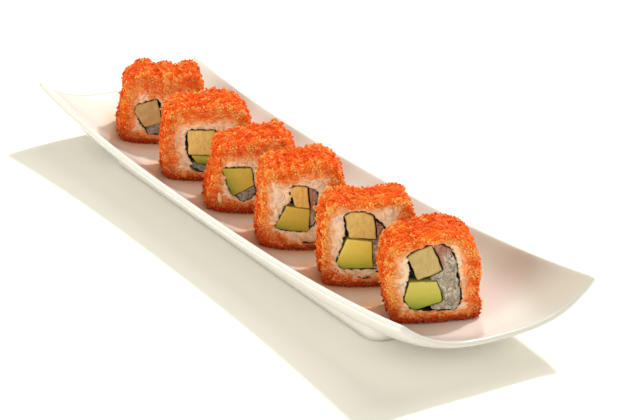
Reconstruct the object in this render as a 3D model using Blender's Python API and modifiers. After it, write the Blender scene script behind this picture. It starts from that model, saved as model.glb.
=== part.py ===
"""Uramaki rolls on a boat-shaped porcelain plate.

Metres, +Z up.  The origin is on the table under the middle of the plate,
+X runs along the plate and +Y across it.  Six slices of one inside-out roll
stand on the plate: a coat of roe, a ring of rice, a sheet of nori and the
fillings that run through each slice.
"""
import bpy
import bmesh
import math
import random
from mathutils import Vector

MM = 0.001

# ---------------------------------------------------------------- plate sizes
PLATE_LENGTH = 390.6 * MM        # rim corner to rim corner, along the plate
PLATE_WIDTH = 102.4 * MM         # rim crest to rim crest
PLATE_WALL = 4.0 * MM
FLOOR_HEIGHT = 5.8 * MM          # inside, at the middle of the plate
RIM_MIDDLE = 26.2 * MM           # rim height half way along
RIM_CORNER = 37.2 * MM           # rim height at the four corners
RIM_SWEEP = 2.5                  # how late the rim rises towards the ends
END_HEIGHT = 22.5 * MM           # the low middle of each end edge
END_SWEEP = 5.5                  # how late the floor rises towards the ends
SIDE_CURVE = 3.1                 # how late the floor rises towards the sides
END_BULGE = 3.0 * MM             # the end edges bow outwards in plan

FOOT_LENGTH = 281.0 * MM         # foot ring, outside
FOOT_WIDTH = 62.8 * MM
FOOT_WALL = 4.0 * MM
FOOT_CORNER = 7.0 * MM

# ----------------------------------------------------------------- roll sizes
SLICE = 30.0 * MM                # length of each slice along its own axis
ROE_COAT = 2.2 * MM              # about two layers of grains
ROE_LUMP = 0.45 * MM             # how far the coat swells in and out
GAP = 0.35 * MM                  # clearance between neighbouring layers
REST_GAP = 0.5 * MM              # clearance between a slice and the plate
NORI = 0.5 * MM
SIDES = 32                       # facets round every layer

# One entry a slice.  at: middle on the plate; turn: heading of the cut face
# that looks along +X; lean: how much lower the back is than that face, as a
# share; shape: the uneven outline, anticlockwise.  The shape and the corners
# of each filling are in millimetres on the cut face that looks along +X
# (across from the middle, up from the plate).  slack: places that the sheet of
# nori goes round beyond the fillings, where it stands off them.
SLICES = [
    dict(at=(-148.0, 3.0), turn=-23.5, lean=0.0,
         shape=((14, 0), (20, 0.1), (23.4, 0.9), (24.6, 3.5), (24.9, 10),
                (25, 20), (24.9, 30), (23.9, 35.8), (21.3, 39.4),
                (16.4, 39.9), (10.5, 38.3), (6.6, 40.3), (2.7, 40.4),
                (-1.3, 38.7), (-5.1, 41.9), (-11, 41.6), (-14, 39.5),
                (-19.2, 35), (-20.4, 31), (-21.0, 24), (-22.5, 16),
                (-24.1, 9), (-24.6, 4), (-23.6, 1), (-20, 0.1), (-12, 0), (-4, 0), (5, 0)),
         egg=((-15.2, 19.2), (-13.9, 22.8), (-2.1, 26.5), (0.7, 13.2),
              (-9.7, 10.0)),
         crab=((-9.6, 10.6), (-0.4, 13.4), (0.6, 6.2), (-7.6, 5.6)),
         slack=((-12.6, 12.0), (1.2, 26.2))),
    dict(at=(-85.4, 0.2), turn=-24.2, lean=0.0,
         shape=((14, 0), (20, 0.1), (23.4, 0.9), (24.7, 3.8), (24.9, 12),
                (25, 22), (24.7, 31), (22.8, 36.6), (19.5, 40.3),
                (16.2, 42.5), (9.8, 43.8), (5.2, 44.8), (1.4, 43.2),
                (-4, 43), (-9.9, 42.8), (-17.2, 41.2), (-20.6, 38.8),
                (-22.3, 35), (-23.3, 27), (-24, 18), (-24.6, 10), (-24.5, 4),
                (-23.2, 0.9), (-20, 0.1), (-12, 0), (-4, 0), (5, 0)),
         egg=((-10.3, 29.8), (4.8, 29.6), (4.2, 15.5), (-10.2, 15.8)),
         avocado=((-8.6, 15.0), (3.2, 14.7), (1.6, 9.8), (-5.6, 10.4)),
         crab=((-8.8, 11.6), (1.8, 11.0), (0.8, 5.8), (-8.0, 6.2)),
         slack=((-12.7, 24.5), (-12.0, 15.5), (6.2, 29.6))),
    dict(at=(-30.4, -2.3), turn=-25.0, lean=0.0,
         shape=((14, 0), (20, 0.1), (23, 0.9), (24.3, 3.5), (24.7, 10),
                (24.8, 18), (24.6, 27), (23.6, 33), (21, 37.2), (18.4, 40.5),
                (15.4, 43), (12.6, 42), (8.4, 41), (1.9, 40.5), (-3.5, 39.4),
                (-8.9, 38.8), (-15, 37.4), (-17.8, 33), (-18.9, 28),
                (-20.1, 21), (-21.9, 14), (-23.4, 8), (-24.2, 3.4),
                (-22.8, 0.8), (-19, 0.1), (-12, 0), (-4, 0), (5, 0)),
         avocado=((-15.1, 25.8), (0.5, 25.9), (1.6, 16.2), (-9.9, 10.0)),
         crab=((-9.6, 12.0), (2.2, 17.4), (2.4, 10.8), (-4.4, 6.8)),
         slack=((-1.8, 27.6),)),
    dict(at=(26.8, -3.6), turn=-24.4, lean=0.0,
         shape=((12, 0), (18, 0.1), (20.8, 0.9), (22, 3.2), (22.3, 9),
                (22.3, 17), (22.1, 27), (21.4, 35), (19.6, 40.4), (17, 43.9),
                (13.6, 46.3), (9.6, 47.4), (6.2, 47.2), (1.3, 45.5),
                (-3.9, 44.7), (-12, 44), (-18, 42.4), (-20.5, 38.5),
                (-21.2, 33), (-21.3, 22), (-21.8, 15), (-22.7, 9), (-22.9, 4),
                (-21.7, 0.9), (-18, 0.1), (-11, 0), (-3.5, 0), (4.5, 0)),
         egg=((-7.4, 33.8), (-3.6, 35.2), (1.7, 34.4), (3.0, 23.1),
              (-4.4, 24.2)),
         avocado=((-8.7, 24.2), (3.1, 22.4), (2.6, 10.4), (-14.9, 11.6)),
         crab=((0.6, 34.4), (6.9, 32.0), (5.6, 13.4), (1.0, 13.0))),
    dict(at=(82.2, -0.4), turn=-25.0, lean=0.028,
         shape=((13, 0), (19, 0.1), (21.9, 0.9), (23.1, 3.4), (23.6, 9),
                (23.9, 17), (23.8, 27), (23.2, 35), (21.6, 41), (19.2, 44.8),
                (14.7, 45.6), (9.8, 45.3), (4.8, 44.3), (-0.1, 44),
                (-5.1, 44.5), (-10, 44.9), (-16.6, 43.6), (-20.3, 38.6),
                (-21.6, 31), (-21.7, 20), (-21.7, 11), (-21.5, 4),
                (-20.2, 0.9), (-17, 0.1), (-10, 0), (-3, 0), (5, 0)),
         egg=((-11.1, 37.6), (-8.6, 39.2), (-1.5, 39.6), (2.7, 37.4),
              (4.3, 25.4), (-8.9, 26.7)),
         avocado=((-9.8, 25.6), (2.0, 24.2), (2.7, 10.3), (-11.8, 9.9),
                  (-14.8, 12.8)),
         crab=((2.0, 36.0), (8.0, 32.0), (7.6, 10.4), (1.0, 9.4)),
         slack=((-12.6, 29.0),)),
    dict(at=(138.6, 1.0), turn=-25.5, lean=0.008,
         shape=((10, 0), (16, 0.1), (19.4, 0.7), (21.2, 2.8), (21.4, 7),
                (20.8, 12), (20.2, 19), (20.7, 25), (19.9, 30), (18.9, 34.6),
                (17.3, 38.8), (14.6, 42), (10.8, 44), (5.4, 45.3), (0, 44.7),
                (-4.7, 43.8), (-10, 42.4), (-14.6, 41), (-19, 38.8),
                (-21.8, 35.2), (-22.6, 30), (-22.6, 22), (-22, 14.5),
                (-20.6, 9.5), (-20.4, 4), (-19.2, 1), (-15, 0.1), (-8, 0),
                (1, 0)),
         egg=((-13.2, 34.8), (-11.2, 36.5), (-2.0, 40.3), (3.1, 27.2),
              (-8.3, 22.9)),
         avocado=((-12.0, 21.7), (0.5, 21.6), (3.3, 13.2), (2.8, 10.9),
                  (-10.0, 7.1), (-14.3, 12.0)),
         crab=((-1.9, 40.2), (3.5, 39.9), (7.3, 37.5), (9.3, 30.0),
               (12.2, 9.6), (9.6, 6.4), (-2.0, 6.6))),
]

COLOURS = {
    "plate": ((0.86, 0.82, 0.75), 0.12),
    "roe": ((0.92, 0.20, 0.02), 0.25),
    "rice": ((0.84, 0.60, 0.45), 0.45),
    "nori": ((0.02, 0.03, 0.015), 0.50),
    "egg": ((0.66, 0.42, 0.13), 0.50),
    "avocado": ((0.50, 0.46, 0.06), 0.40),
    "crab": ((0.62, 0.52, 0.45), 0.45),
}


# -------------------------------------------------------------------- helpers
def collection(name):
    coll = bpy.data.collections.new(name)
    bpy.context.scene.collection.children.link(coll)
    return coll


def material(name, kind):
    colour, rough = COLOURS[kind]
    mat = bpy.data.materials.new(name)
    mat.use_nodes = True
    shader = mat.node_tree.nodes["Principled BSDF"]
    shader.inputs["Base Color"].default_value = (*colour, 1.0)
    shader.inputs["Roughness"].default_value = rough
    shader.inputs["Metallic"].default_value = 0.0
    mat.diffuse_color = (*colour, 1.0)
    return mat


def new_object(name, bm, coll, kind=None, parent=None):
    mesh = bpy.data.meshes.new(name)
    bm.to_mesh(mesh)
    bm.free()
    obj = bpy.data.objects.new(name, mesh)
    coll.objects.link(obj)
    if parent is not None:
        obj.parent = parent
    if kind is not None:
        mesh.materials.append(material(name, kind))
    return obj


def face_outwards(bm):
    bmesh.ops.recalc_face_normals(bm, faces=bm.faces)
    if bm.calc_volume(signed=True) < 0:
        bmesh.ops.reverse_faces(bm, faces=bm.faces)


def as_guide(obj):
    obj.hide_render = True
    obj.display_type = 'WIRE'


# ---------------------------------------------------------------------- plate
def plate_height(u, v):
    """Inner surface of the plate; u and v run from -1 to 1 between the rims."""
    u, v = abs(u), abs(v)
    floor = FLOOR_HEIGHT + (END_HEIGHT - FLOOR_HEIGHT) * u ** END_SWEEP
    rim = RIM_MIDDLE + (RIM_CORNER - RIM_MIDDLE) * u ** RIM_SWEEP
    return floor + (rim - floor) * v ** SIDE_CURVE


def floor_at(x, y):
    v = min(1.0, abs(y) / (PLATE_WIDTH / 2))
    u = min(1.0, abs(x) / (PLATE_LENGTH / 2 + END_BULGE * (1 - v * v)))
    return plate_height(u, v)


def make_sheet(coll):
    along, across = 42, 14
    bm = bmesh.new()
    bmesh.ops.create_grid(bm, x_segments=along, y_segments=across, size=1.0)
    for vert in bm.verts:
        # stations crowd towards the rims, where the sheet curves most
        u = math.copysign(abs(vert.co.x) ** 0.8, vert.co.x)
        v = math.copysign(abs(vert.co.y) ** 0.8, vert.co.y)
        half = PLATE_LENGTH / 2 + END_BULGE * (1 - v * v)
        vert.co = Vector((u * half, v * PLATE_WIDTH / 2, plate_height(u, v)))
    bmesh.ops.recalc_face_normals(bm, faces=bm.faces)
    if sum(face.normal.z for face in bm.faces) < 0:
        bmesh.ops.reverse_faces(bm, faces=bm.faces)
    return new_object("plate", bm, coll, "plate")


def foot_stations():
    """The foot ring's middle line: straight runs and quarter-round corners."""
    half_l = (FOOT_LENGTH - FOOT_WALL) / 2
    half_w = (FOOT_WIDTH - FOOT_WALL) / 2
    r = FOOT_CORNER
    centres = ((half_l - r, half_w - r, 0), (r - half_l, half_w - r, 90),
               (r - half_l, r - half_w, 180), (half_l - r, r - half_w, 270))
    arc, long_run, short_run = 4, 14, 4
    points = []
    for k, (cx, cy, start) in enumerate(centres):
        for i in range(arc + 1):
            a = math.radians(start + 90.0 * i / arc)
            points.append(Vector((cx + r * math.cos(a), cy + r * math.sin(a))))
        nx, ny, begin = centres[(k + 1) % 4]
        a = math.radians(begin)
        goal = Vector((nx + r * math.cos(a), ny + r * math.sin(a)))
        here = points[-1].copy()
        run = long_run if k % 2 == 0 else short_run
        for i in range(1, run):
            points.append(here.lerp(goal, i / run))
    return points


def make_foot(coll):
    stations = foot_stations()
    count = len(stations)
    bm = bmesh.new()
    bmesh.ops.create_cone(bm, cap_ends=False, segments=count,
                          radius1=1.0, radius2=1.0, depth=2.0)
    for vert in bm.verts:
        turn = math.atan2(vert.co.y, vert.co.x) / math.tau
        p = stations[round(turn * count) % count]
        top = floor_at(p.x, p.y) - PLATE_WALL * 0.55
        vert.co = Vector((p.x, p.y, top if vert.co.z > 0 else 0.0))
    bmesh.ops.recalc_face_normals(bm, faces=bm.faces)
    foot = new_object("foot_ring", bm, coll)
    wall = foot.modifiers.new("wall", 'SOLIDIFY')
    wall.thickness = FOOT_WALL
    wall.offset = 0.0
    wall.use_even_offset = True
    as_guide(foot)
    return foot


def make_plate(coll, cutters):
    plate = make_sheet(coll)
    wall = plate.modifiers.new("wall", 'SOLIDIFY')
    wall.thickness = PLATE_WALL
    wall.offset = -1.0
    wall.use_even_offset = True
    foot = make_foot(cutters)
    join = plate.modifiers.new("foot", 'BOOLEAN')
    join.operation = 'UNION'
    join.solver = 'EXACT'
    join.object = foot
    plate.data.shade_smooth()
    plate.data.set_sharp_from_angle(angle=math.radians(40))
    return plate


# ---------------------------------------------------------------------- rolls
def spline_point(points, t):
    """A smooth closed curve through the points; t counts points."""
    count = len(points)
    i = int(math.floor(t))
    f = t - i
    p = [Vector(points[(i + k) % count]) for k in (-1, 0, 1, 2)]
    d = [(p[k + 1] - p[k]).length for k in range(3)]

    def slope(k):
        return ((p[k + 1] - p[k]) * (d[k - 1] / d[k])
                + (p[k] - p[k - 1]) * (d[k] / d[k - 1])) / (d[k - 1] + d[k])

    a = slope(1) * d[1]
    b = slope(2) * d[1]
    return (p[1] * (2 * f ** 3 - 3 * f ** 2 + 1) + a * (f ** 3 - 2 * f ** 2 + f)
            + p[2] * (3 * f ** 2 - 2 * f ** 3) + b * (f ** 3 - f ** 2))


def block_outline(item, inset=0.0):
    """The slice's uneven outline, moved inwards by inset."""
    shape = [(a * MM, b * MM) for a, b in item["shape"]]
    stations = list(range(len(shape)))
    while len(stations) < SIDES:
        # the longest side is halved
        gaps = []
        for k, t in enumerate(stations):
            after = stations[k + 1] if k + 1 < len(stations) else len(shape)
            run = spline_point(shape, after) - spline_point(shape, t)
            gaps.append((run.length, k, (t + after) / 2))
        length, k, middle = max(gaps)
        stations.insert(k + 1, middle)
    height = max(z for y, z in shape)
    normals = []
    for t in stations:
        run = spline_point(shape, t + 0.3) - spline_point(shape, t - 0.3)
        normals.append(Vector((run.y, -run.x)).normalized())
    for _ in range(2):
        # neighbours share their headings, so no inner corner folds over
        normals = [(normals[k - 1] + 2 * normals[k]
                    + normals[(k + 1) % SIDES]).normalized()
                   for k in range(SIDES)]
    points = [spline_point(shape, t) - n * inset
              for t, n in zip(stations, normals)]
    # the list starts where the outline crosses the right-hand side half way up
    turns = [math.atan2(p.y - height / 2, p.x) % math.tau for p in points]
    first = turns.index(min(turns))
    return points[first:] + points[:first]


def rounded(corners, radius=1.8, arc=3):
    """Corner points with quarter-round corners between the straight sides."""
    points = []
    count = len(corners)
    for k in range(count):
        here = Vector(corners[k])
        back = Vector(corners[k - 1]) - here
        ahead = Vector(corners[(k + 1) % count]) - here
        room = 0.42 * min(back.length, ahead.length)
        back.normalize()
        ahead.normalize()
        half = back.angle(ahead) / 2
        r = min(radius, room * math.tan(half))
        cut = r / math.tan(half)
        middle = here + (back + ahead).normalized() * (r / math.sin(half))
        start = here + back * cut - middle
        end = here + ahead * cut - middle
        for i in range(arc + 1):
            point = start.lerp(end, i / arc).normalized() * r + middle
            points.append(point)
    return points


def wrap(point_sets, clear):
    """A sheet drawn tight round the fillings: tangent lines at even turns."""
    every = [p for points in point_sets for p in points]
    lines = []
    for k in range(SIDES + 1):
        a = math.tau * k / SIDES
        d = Vector((math.cos(a), math.sin(a)))
        lines.append((d, max(p.dot(d) for p in every) + clear))
    points = []
    for (d0, h0), (d1, h1) in zip(lines, lines[1:]):
        det = d0.x * d1.y - d0.y * d1.x
        points.append(Vector(((h0 * d1.y - h1 * d0.y) / det,
                              (h1 * d0.x - h0 * d1.x) / det)))
    return points


class Roll:
    """One slice in its own frame: +X out of the cut face, +Y across, +Z up."""

    def __init__(self, index, item, coll):
        self.item = item
        self.index = index
        x, y = (c * MM for c in item["at"])
        self.turn = math.radians(item["turn"])
        self.height = max(z for y, z in item["shape"]) * MM
        self.base = floor_at(x, y)
        self.hub = bpy.data.objects.new("slice_%d" % index, None)
        self.hub.location = (x, y, self.base)
        self.hub.rotation_euler = (0, 0, self.turn)
        coll.objects.link(self.hub)
        rng = random.Random(40 + index)
        self.phase = [rng.uniform(0, math.tau) for _ in range(8)]

    def settle(self, x, y, z):
        """Lets the soft slice sink onto the plate; its top stays level."""
        c, s = math.cos(self.turn), math.sin(self.turn)
        wx = self.hub.location.x + c * x - s * y
        wy = self.hub.location.y + s * x + c * y
        lift = floor_at(wx, wy) + REST_GAP - self.base
        z *= 1 - self.item["lean"] * (1 - x / (SLICE / 2))
        return Vector((x, y, z + lift * (1 - z / self.height)))

    def lump(self, angle, x):
        p = self.phase
        k = x / SLICE
        wave = (0.45 * math.sin(3 * angle + p[0] + 3 * k)
                + 0.35 * math.sin(5 * angle + p[1] - 5 * k)
                + 0.30 * math.sin(8 * angle + p[2] + 4 * k)
                + 0.25 * math.sin(7 * k + p[3] + 2 * angle))
        return ROE_LUMP * wave

    def sleeve(self, name, kind, coll, outer, inner, half_outer, half_inner,
               cuts=0, lumpy=False):
        """A closed tube: a grid rolled round the slice and back inside it."""
        walls = [("out", -1 + 2 * i / (cuts + 1)) for i in range(cuts + 2)]
        walls += [("in", 1.0), ("in", -1.0)]
        bm = bmesh.new()
        bmesh.ops.create_grid(bm, x_segments=SIDES, y_segments=len(walls),
                              size=1.0)
        mid = Vector((0, self.height / 2))
        for vert in bm.verts:
            k = round((vert.co.x + 1) / 2 * SIDES) % SIDES
            side, x = walls[round((vert.co.y + 1) / 2 * len(walls)) % len(walls)]
            end = abs(x) == 1.0
            p = outer[k] if side == "out" else inner[k]
            x *= half_outer if side == "out" else half_inner
            if lumpy and side == "out":
                angle = math.tau * k / SIDES
                p = p + (p - mid).normalized() * self.lump(angle, x)
                p.y = max(p.y, 0.0)
                if end:
                    x += 0.4 * MM * math.sin(5 * angle + self.phase[4])
            vert.co = self.settle(x, p.x, p.y)
        bmesh.ops.remove_doubles(bm, verts=bm.verts, dist=1e-6)
        # the walls twist a little, so facing walls are split the same way
        bmesh.ops.triangulate(bm, faces=bm.faces,
                              quad_method='SHORT_EDGE')
        face_outwards(bm)
        return new_object("%s_%d" % (name, self.index), bm, coll, kind, self.hub)

    def bar(self, name, kind, coll, outline, half):
        """A filling that runs through the slice."""
        count = len(outline)
        bm = bmesh.new()
        bmesh.ops.create_cone(bm, cap_ends=True, segments=count,
                              radius1=1.0, radius2=1.0, depth=2.0)
        for vert in bm.verts:
            turn = math.atan2(vert.co.y, vert.co.x) / math.tau
            p = outline[round(turn * count) % count]
            vert.co = self.settle(vert.co.z * half, p.x, p.y)
        face_outwards(bm)
        return new_object("%s_%d" % (name, self.index), bm, coll, kind, self.hub)


def grown(outline, clear):
    """A filling's outline moved outwards, to cut its neighbour clear of it."""
    count = len(outline)
    points = []
    for k in range(count):
        run = outline[(k + 1) % count] - outline[k - 1]
        normal = Vector((run.y, -run.x)).normalized()
        points.append(outline[k] + normal * clear)
    area = sum(a.x * b.y - b.x * a.y
               for a, b in zip(points, points[1:] + points[:1]))
    plain = sum(a.x * b.y - b.x * a.y
                for a, b in zip(outline, outline[1:] + outline[:1]))
    return points if abs(area) > abs(plain) else grown(outline, -clear)


def make_roll(index, item, coll, cutters):
    roll = Roll(index, item, coll)
    half = SLICE / 2

    fillings = {}
    for kind in ("egg", "avocado", "crab"):
        if kind in item:
            corners = [(a * MM, b * MM) for a, b in item[kind]]
            # corners are given clockwise; the bars run the other way round
            fillings[kind] = rounded(corners[::-1], radius=1.8 * MM,
                                     arc=3 if len(corners) < 5 else 2)

    held = list(fillings.values())
    held.append([Vector((a * MM, b * MM)) for a, b in item.get("slack", ())])
    sheet = wrap(held, GAP)
    outside = wrap(held, GAP + NORI)
    hole = wrap(held, GAP + NORI + GAP)

    roll.sleeve("roe", "roe", coll, block_outline(item),
                block_outline(item, ROE_COAT), half, half - 0.3 * MM,
                cuts=2, lumpy=True)
    roll.sleeve("rice", "rice", coll, block_outline(item, ROE_COAT + GAP),
                hole, half - 0.3 * MM, half - 0.3 * MM)
    roll.sleeve("nori", "nori", coll, outside, sheet,
                half - 0.6 * MM, half - 0.6 * MM)

    reach = {"egg": 0.1 * MM, "avocado": -0.2 * MM, "crab": -0.5 * MM}
    bars = {}
    for kind, outline in fillings.items():
        bars[kind] = roll.bar(kind, kind, coll, outline, half + reach[kind])
    for kind in ("egg", "avocado"):
        if kind in bars:
            cutter = roll.bar("clear_" + kind, kind, cutters,
                              grown(fillings[kind], GAP), half + 3 * MM)
            as_guide(cutter)
            cut = bars["crab"].modifiers.new("clear of " + kind, 'BOOLEAN')
            cut.operation = 'DIFFERENCE'
            cut.solver = 'EXACT'
            cut.object = cutter


def main():
    for obj in list(bpy.data.objects):
        bpy.data.objects.remove(obj, do_unlink=True)
    coll = collection("uramaki_rolls")
    cutters = collection("cutters")
    make_plate(coll, cutters)
    for index, item in enumerate(SLICES, start=1):
        make_roll(index, item, coll, cutters)


main()
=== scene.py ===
"""Looks for the uramaki rolls on their boat-shaped porcelain plate."""

import bpy
import bmesh
import math
import random

import numpy as np
from mathutils import Matrix, Vector


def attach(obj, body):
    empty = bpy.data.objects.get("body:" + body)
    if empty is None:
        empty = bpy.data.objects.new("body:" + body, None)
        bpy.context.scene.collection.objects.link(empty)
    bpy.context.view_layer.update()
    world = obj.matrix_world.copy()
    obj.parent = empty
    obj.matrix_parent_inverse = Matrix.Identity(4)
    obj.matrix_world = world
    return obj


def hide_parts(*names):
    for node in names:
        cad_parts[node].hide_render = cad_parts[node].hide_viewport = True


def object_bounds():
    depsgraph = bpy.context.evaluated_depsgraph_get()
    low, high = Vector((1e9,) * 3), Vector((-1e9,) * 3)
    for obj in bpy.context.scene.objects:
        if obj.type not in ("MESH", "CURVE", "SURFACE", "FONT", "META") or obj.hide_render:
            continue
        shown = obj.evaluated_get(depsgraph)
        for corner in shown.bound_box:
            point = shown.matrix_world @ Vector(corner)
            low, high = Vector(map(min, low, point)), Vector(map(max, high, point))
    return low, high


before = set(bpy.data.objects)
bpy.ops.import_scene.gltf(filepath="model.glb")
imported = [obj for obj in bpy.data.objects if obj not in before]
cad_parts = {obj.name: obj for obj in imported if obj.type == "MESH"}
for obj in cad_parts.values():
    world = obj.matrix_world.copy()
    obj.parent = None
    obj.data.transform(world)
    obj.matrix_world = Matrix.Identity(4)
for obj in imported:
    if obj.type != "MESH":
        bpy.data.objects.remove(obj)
cad_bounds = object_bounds()
MM = 0.001
TOP = cad_bounds[1][2] / MM

# ---------------------------------------------------------------------------
# The CAD's own sizes, in millimetres, so that each new surface lies on it.
# ---------------------------------------------------------------------------
PLATE_LENGTH, PLATE_WIDTH, PLATE_WALL = 390.6, 102.4, 4.0
FLOOR_HEIGHT, RIM_MIDDLE, RIM_CORNER, RIM_SWEEP = 5.8, 26.2, 37.2, 2.5
END_HEIGHT, END_SWEEP, SIDE_CURVE, END_BULGE = 22.5, 5.5, 3.1, 3.0
FOOT_LENGTH, FOOT_WIDTH, FOOT_WALL, FOOT_CORNER = 281.0, 62.8, 4.0, 7.0
SLICE, ROE_COAT, ROE_LUMP, REST_GAP = 30.0, 2.2, 0.45, 0.5

# shape: the uneven outline of each slice, anticlockwise on its cut face
SLICES = [
    dict(at=(-148.0, 3.0), turn=-23.5, lean=0.0,
         shape=((14, 0), (20, 0.1), (23.4, 0.9), (24.6, 3.5), (24.9, 10),
                (25, 20), (24.9, 30), (23.9, 35.8), (21.3, 39.4),
                (16.4, 39.9), (10.5, 38.3), (6.6, 40.3), (2.7, 40.4),
                (-1.3, 38.7), (-5.1, 41.9), (-11, 41.6), (-14, 39.5),
                (-19.2, 35), (-20.4, 31), (-21.0, 24), (-22.5, 16),
                (-24.1, 9), (-24.6, 4), (-23.6, 1), (-20, 0.1), (-12, 0), (-4, 0), (5, 0)),
         egg=((-15.2, 19.2), (-13.9, 22.8), (-2.1, 26.5), (0.7, 13.2),
              (-9.7, 10.0)),
         crab=((-9.6, 10.6), (-0.4, 13.4), (0.6, 6.2), (-7.6, 5.6)),
         slack=((-12.6, 12.0), (1.2, 26.2))),
    dict(at=(-85.4, 0.2), turn=-24.2, lean=0.0,
         shape=((14, 0), (20, 0.1), (23.4, 0.9), (24.7, 3.8), (24.9, 12),
                (25, 22), (24.7, 31), (22.8, 36.6), (19.5, 40.3),
                (16.2, 42.5), (9.8, 43.8), (5.2, 44.8), (1.4, 43.2),
                (-4, 43), (-9.9, 42.8), (-17.2, 41.2), (-20.6, 38.8),
                (-22.3, 35), (-23.3, 27), (-24, 18), (-24.6, 10), (-24.5, 4),
                (-23.2, 0.9), (-20, 0.1), (-12, 0), (-4, 0), (5, 0)),
         egg=((-10.3, 29.8), (4.8, 29.6), (4.2, 15.5), (-10.2, 15.8)),
         avocado=((-8.6, 15.0), (3.2, 14.7), (1.6, 9.8), (-5.6, 10.4)),
         crab=((-8.8, 11.6), (1.8, 11.0), (0.8, 5.8), (-8.0, 6.2)),
         slack=((-12.7, 24.5), (-12.0, 15.5), (6.2, 29.6))),
    dict(at=(-30.4, -2.3), turn=-25.0, lean=0.0,
         shape=((14, 0), (20, 0.1), (23, 0.9), (24.3, 3.5), (24.7, 10),
                (24.8, 18), (24.6, 27), (23.6, 33), (21, 37.2), (18.4, 40.5),
                (15.4, 43), (12.6, 42), (8.4, 41), (1.9, 40.5), (-3.5, 39.4),
                (-8.9, 38.8), (-15, 37.4), (-17.8, 33), (-18.9, 28),
                (-20.1, 21), (-21.9, 14), (-23.4, 8), (-24.2, 3.4),
                (-22.8, 0.8), (-19, 0.1), (-12, 0), (-4, 0), (5, 0)),
         avocado=((-15.1, 25.8), (0.5, 25.9), (1.6, 16.2), (-9.9, 10.0)),
         crab=((-9.6, 12.0), (2.2, 17.4), (2.4, 10.8), (-4.4, 6.8)),
         slack=((-1.8, 27.6),)),
    dict(at=(26.8, -3.6), turn=-24.4, lean=0.0,
         shape=((12, 0), (18, 0.1), (20.8, 0.9), (22, 3.2), (22.3, 9),
                (22.3, 17), (22.1, 27), (21.4, 35), (19.6, 40.4), (17, 43.9),
                (13.6, 46.3), (9.6, 47.4), (6.2, 47.2), (1.3, 45.5),
                (-3.9, 44.7), (-12, 44), (-18, 42.4), (-20.5, 38.5),
                (-21.2, 33), (-21.3, 22), (-21.8, 15), (-22.7, 9), (-22.9, 4),
                (-21.7, 0.9), (-18, 0.1), (-11, 0), (-3.5, 0), (4.5, 0)),
         egg=((-7.4, 33.8), (-3.6, 35.2), (1.7, 34.4), (3.0, 23.1),
              (-4.4, 24.2)),
         avocado=((-8.7, 24.2), (3.1, 22.4), (2.6, 10.4), (-14.9, 11.6)),
         crab=((0.6, 34.4), (6.9, 32.0), (5.6, 13.4), (1.0, 13.0))),
    dict(at=(82.2, -0.4), turn=-25.0, lean=0.028,
         shape=((13, 0), (19, 0.1), (21.9, 0.9), (23.1, 3.4), (23.6, 9),
                (23.9, 17), (23.8, 27), (23.2, 35), (21.6, 41), (19.2, 44.8),
                (14.7, 45.6), (9.8, 45.3), (4.8, 44.3), (-0.1, 44),
                (-5.1, 44.5), (-10, 44.9), (-16.6, 43.6), (-20.3, 38.6),
                (-21.6, 31), (-21.7, 20), (-21.7, 11), (-21.5, 4),
                (-20.2, 0.9), (-17, 0.1), (-10, 0), (-3, 0), (5, 0)),
         egg=((-11.1, 37.6), (-8.6, 39.2), (-1.5, 39.6), (2.7, 37.4),
              (4.3, 25.4), (-8.9, 26.7)),
         avocado=((-9.8, 25.6), (2.0, 24.2), (2.7, 10.3), (-11.8, 9.9),
                  (-14.8, 12.8)),
         crab=((2.0, 36.0), (8.0, 32.0), (7.6, 10.4), (1.0, 9.4)),
         slack=((-12.6, 29.0),)),
    dict(at=(138.6, 1.0), turn=-25.5, lean=0.008,
         shape=((10, 0), (16, 0.1), (19.4, 0.7), (21.2, 2.8), (21.4, 7),
                (20.8, 12), (20.2, 19), (20.7, 25), (19.9, 30), (18.9, 34.6),
                (17.3, 38.8), (14.6, 42), (10.8, 44), (5.4, 45.3), (0, 44.7),
                (-4.7, 43.8), (-10, 42.4), (-14.6, 41), (-19, 38.8),
                (-21.8, 35.2), (-22.6, 30), (-22.6, 22), (-22, 14.5),
                (-20.6, 9.5), (-20.4, 4), (-19.2, 1), (-15, 0.1), (-8, 0),
                (1, 0)),
         egg=((-13.2, 34.8), (-11.2, 36.5), (-2.0, 40.3), (3.1, 27.2),
              (-8.3, 22.9)),
         avocado=((-12.0, 21.7), (0.5, 21.6), (3.3, 13.2), (2.8, 10.9),
                  (-10.0, 7.1), (-14.3, 12.0)),
         crab=((-1.9, 40.2), (3.5, 39.9), (7.3, 37.5), (9.3, 30.0),
               (12.2, 9.6), (9.6, 6.4), (-2.0, 6.6))),
]

# how far the roe laps over each cut face, in millimetres: at the top, the
# left, the right, the bottom and the lower left corner
SPILL = [(9.4, 4.8, 4.5, 3.4, 1.0), (6.4, 5.0, 4.5, 3.2, 0.5),
         (6.6, 3.8, 5.0, 5.5, 1.5), (6.0, 1.5, 6.0, 3.0, 4.5),
         (1.5, 1.2, 6.6, 3.0, 3.0), (2.6, 2.3, 5.0, 3.6, 0.8)]
# the side of each avocado that lay next to its skin, as a direction
SKIN = {2: (-0.2, -1.0), 3: (-0.9, -0.5), 4: (-0.25, -1.0), 5: (-0.1, -1.0),
        6: (0.0, -1.0)}
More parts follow.
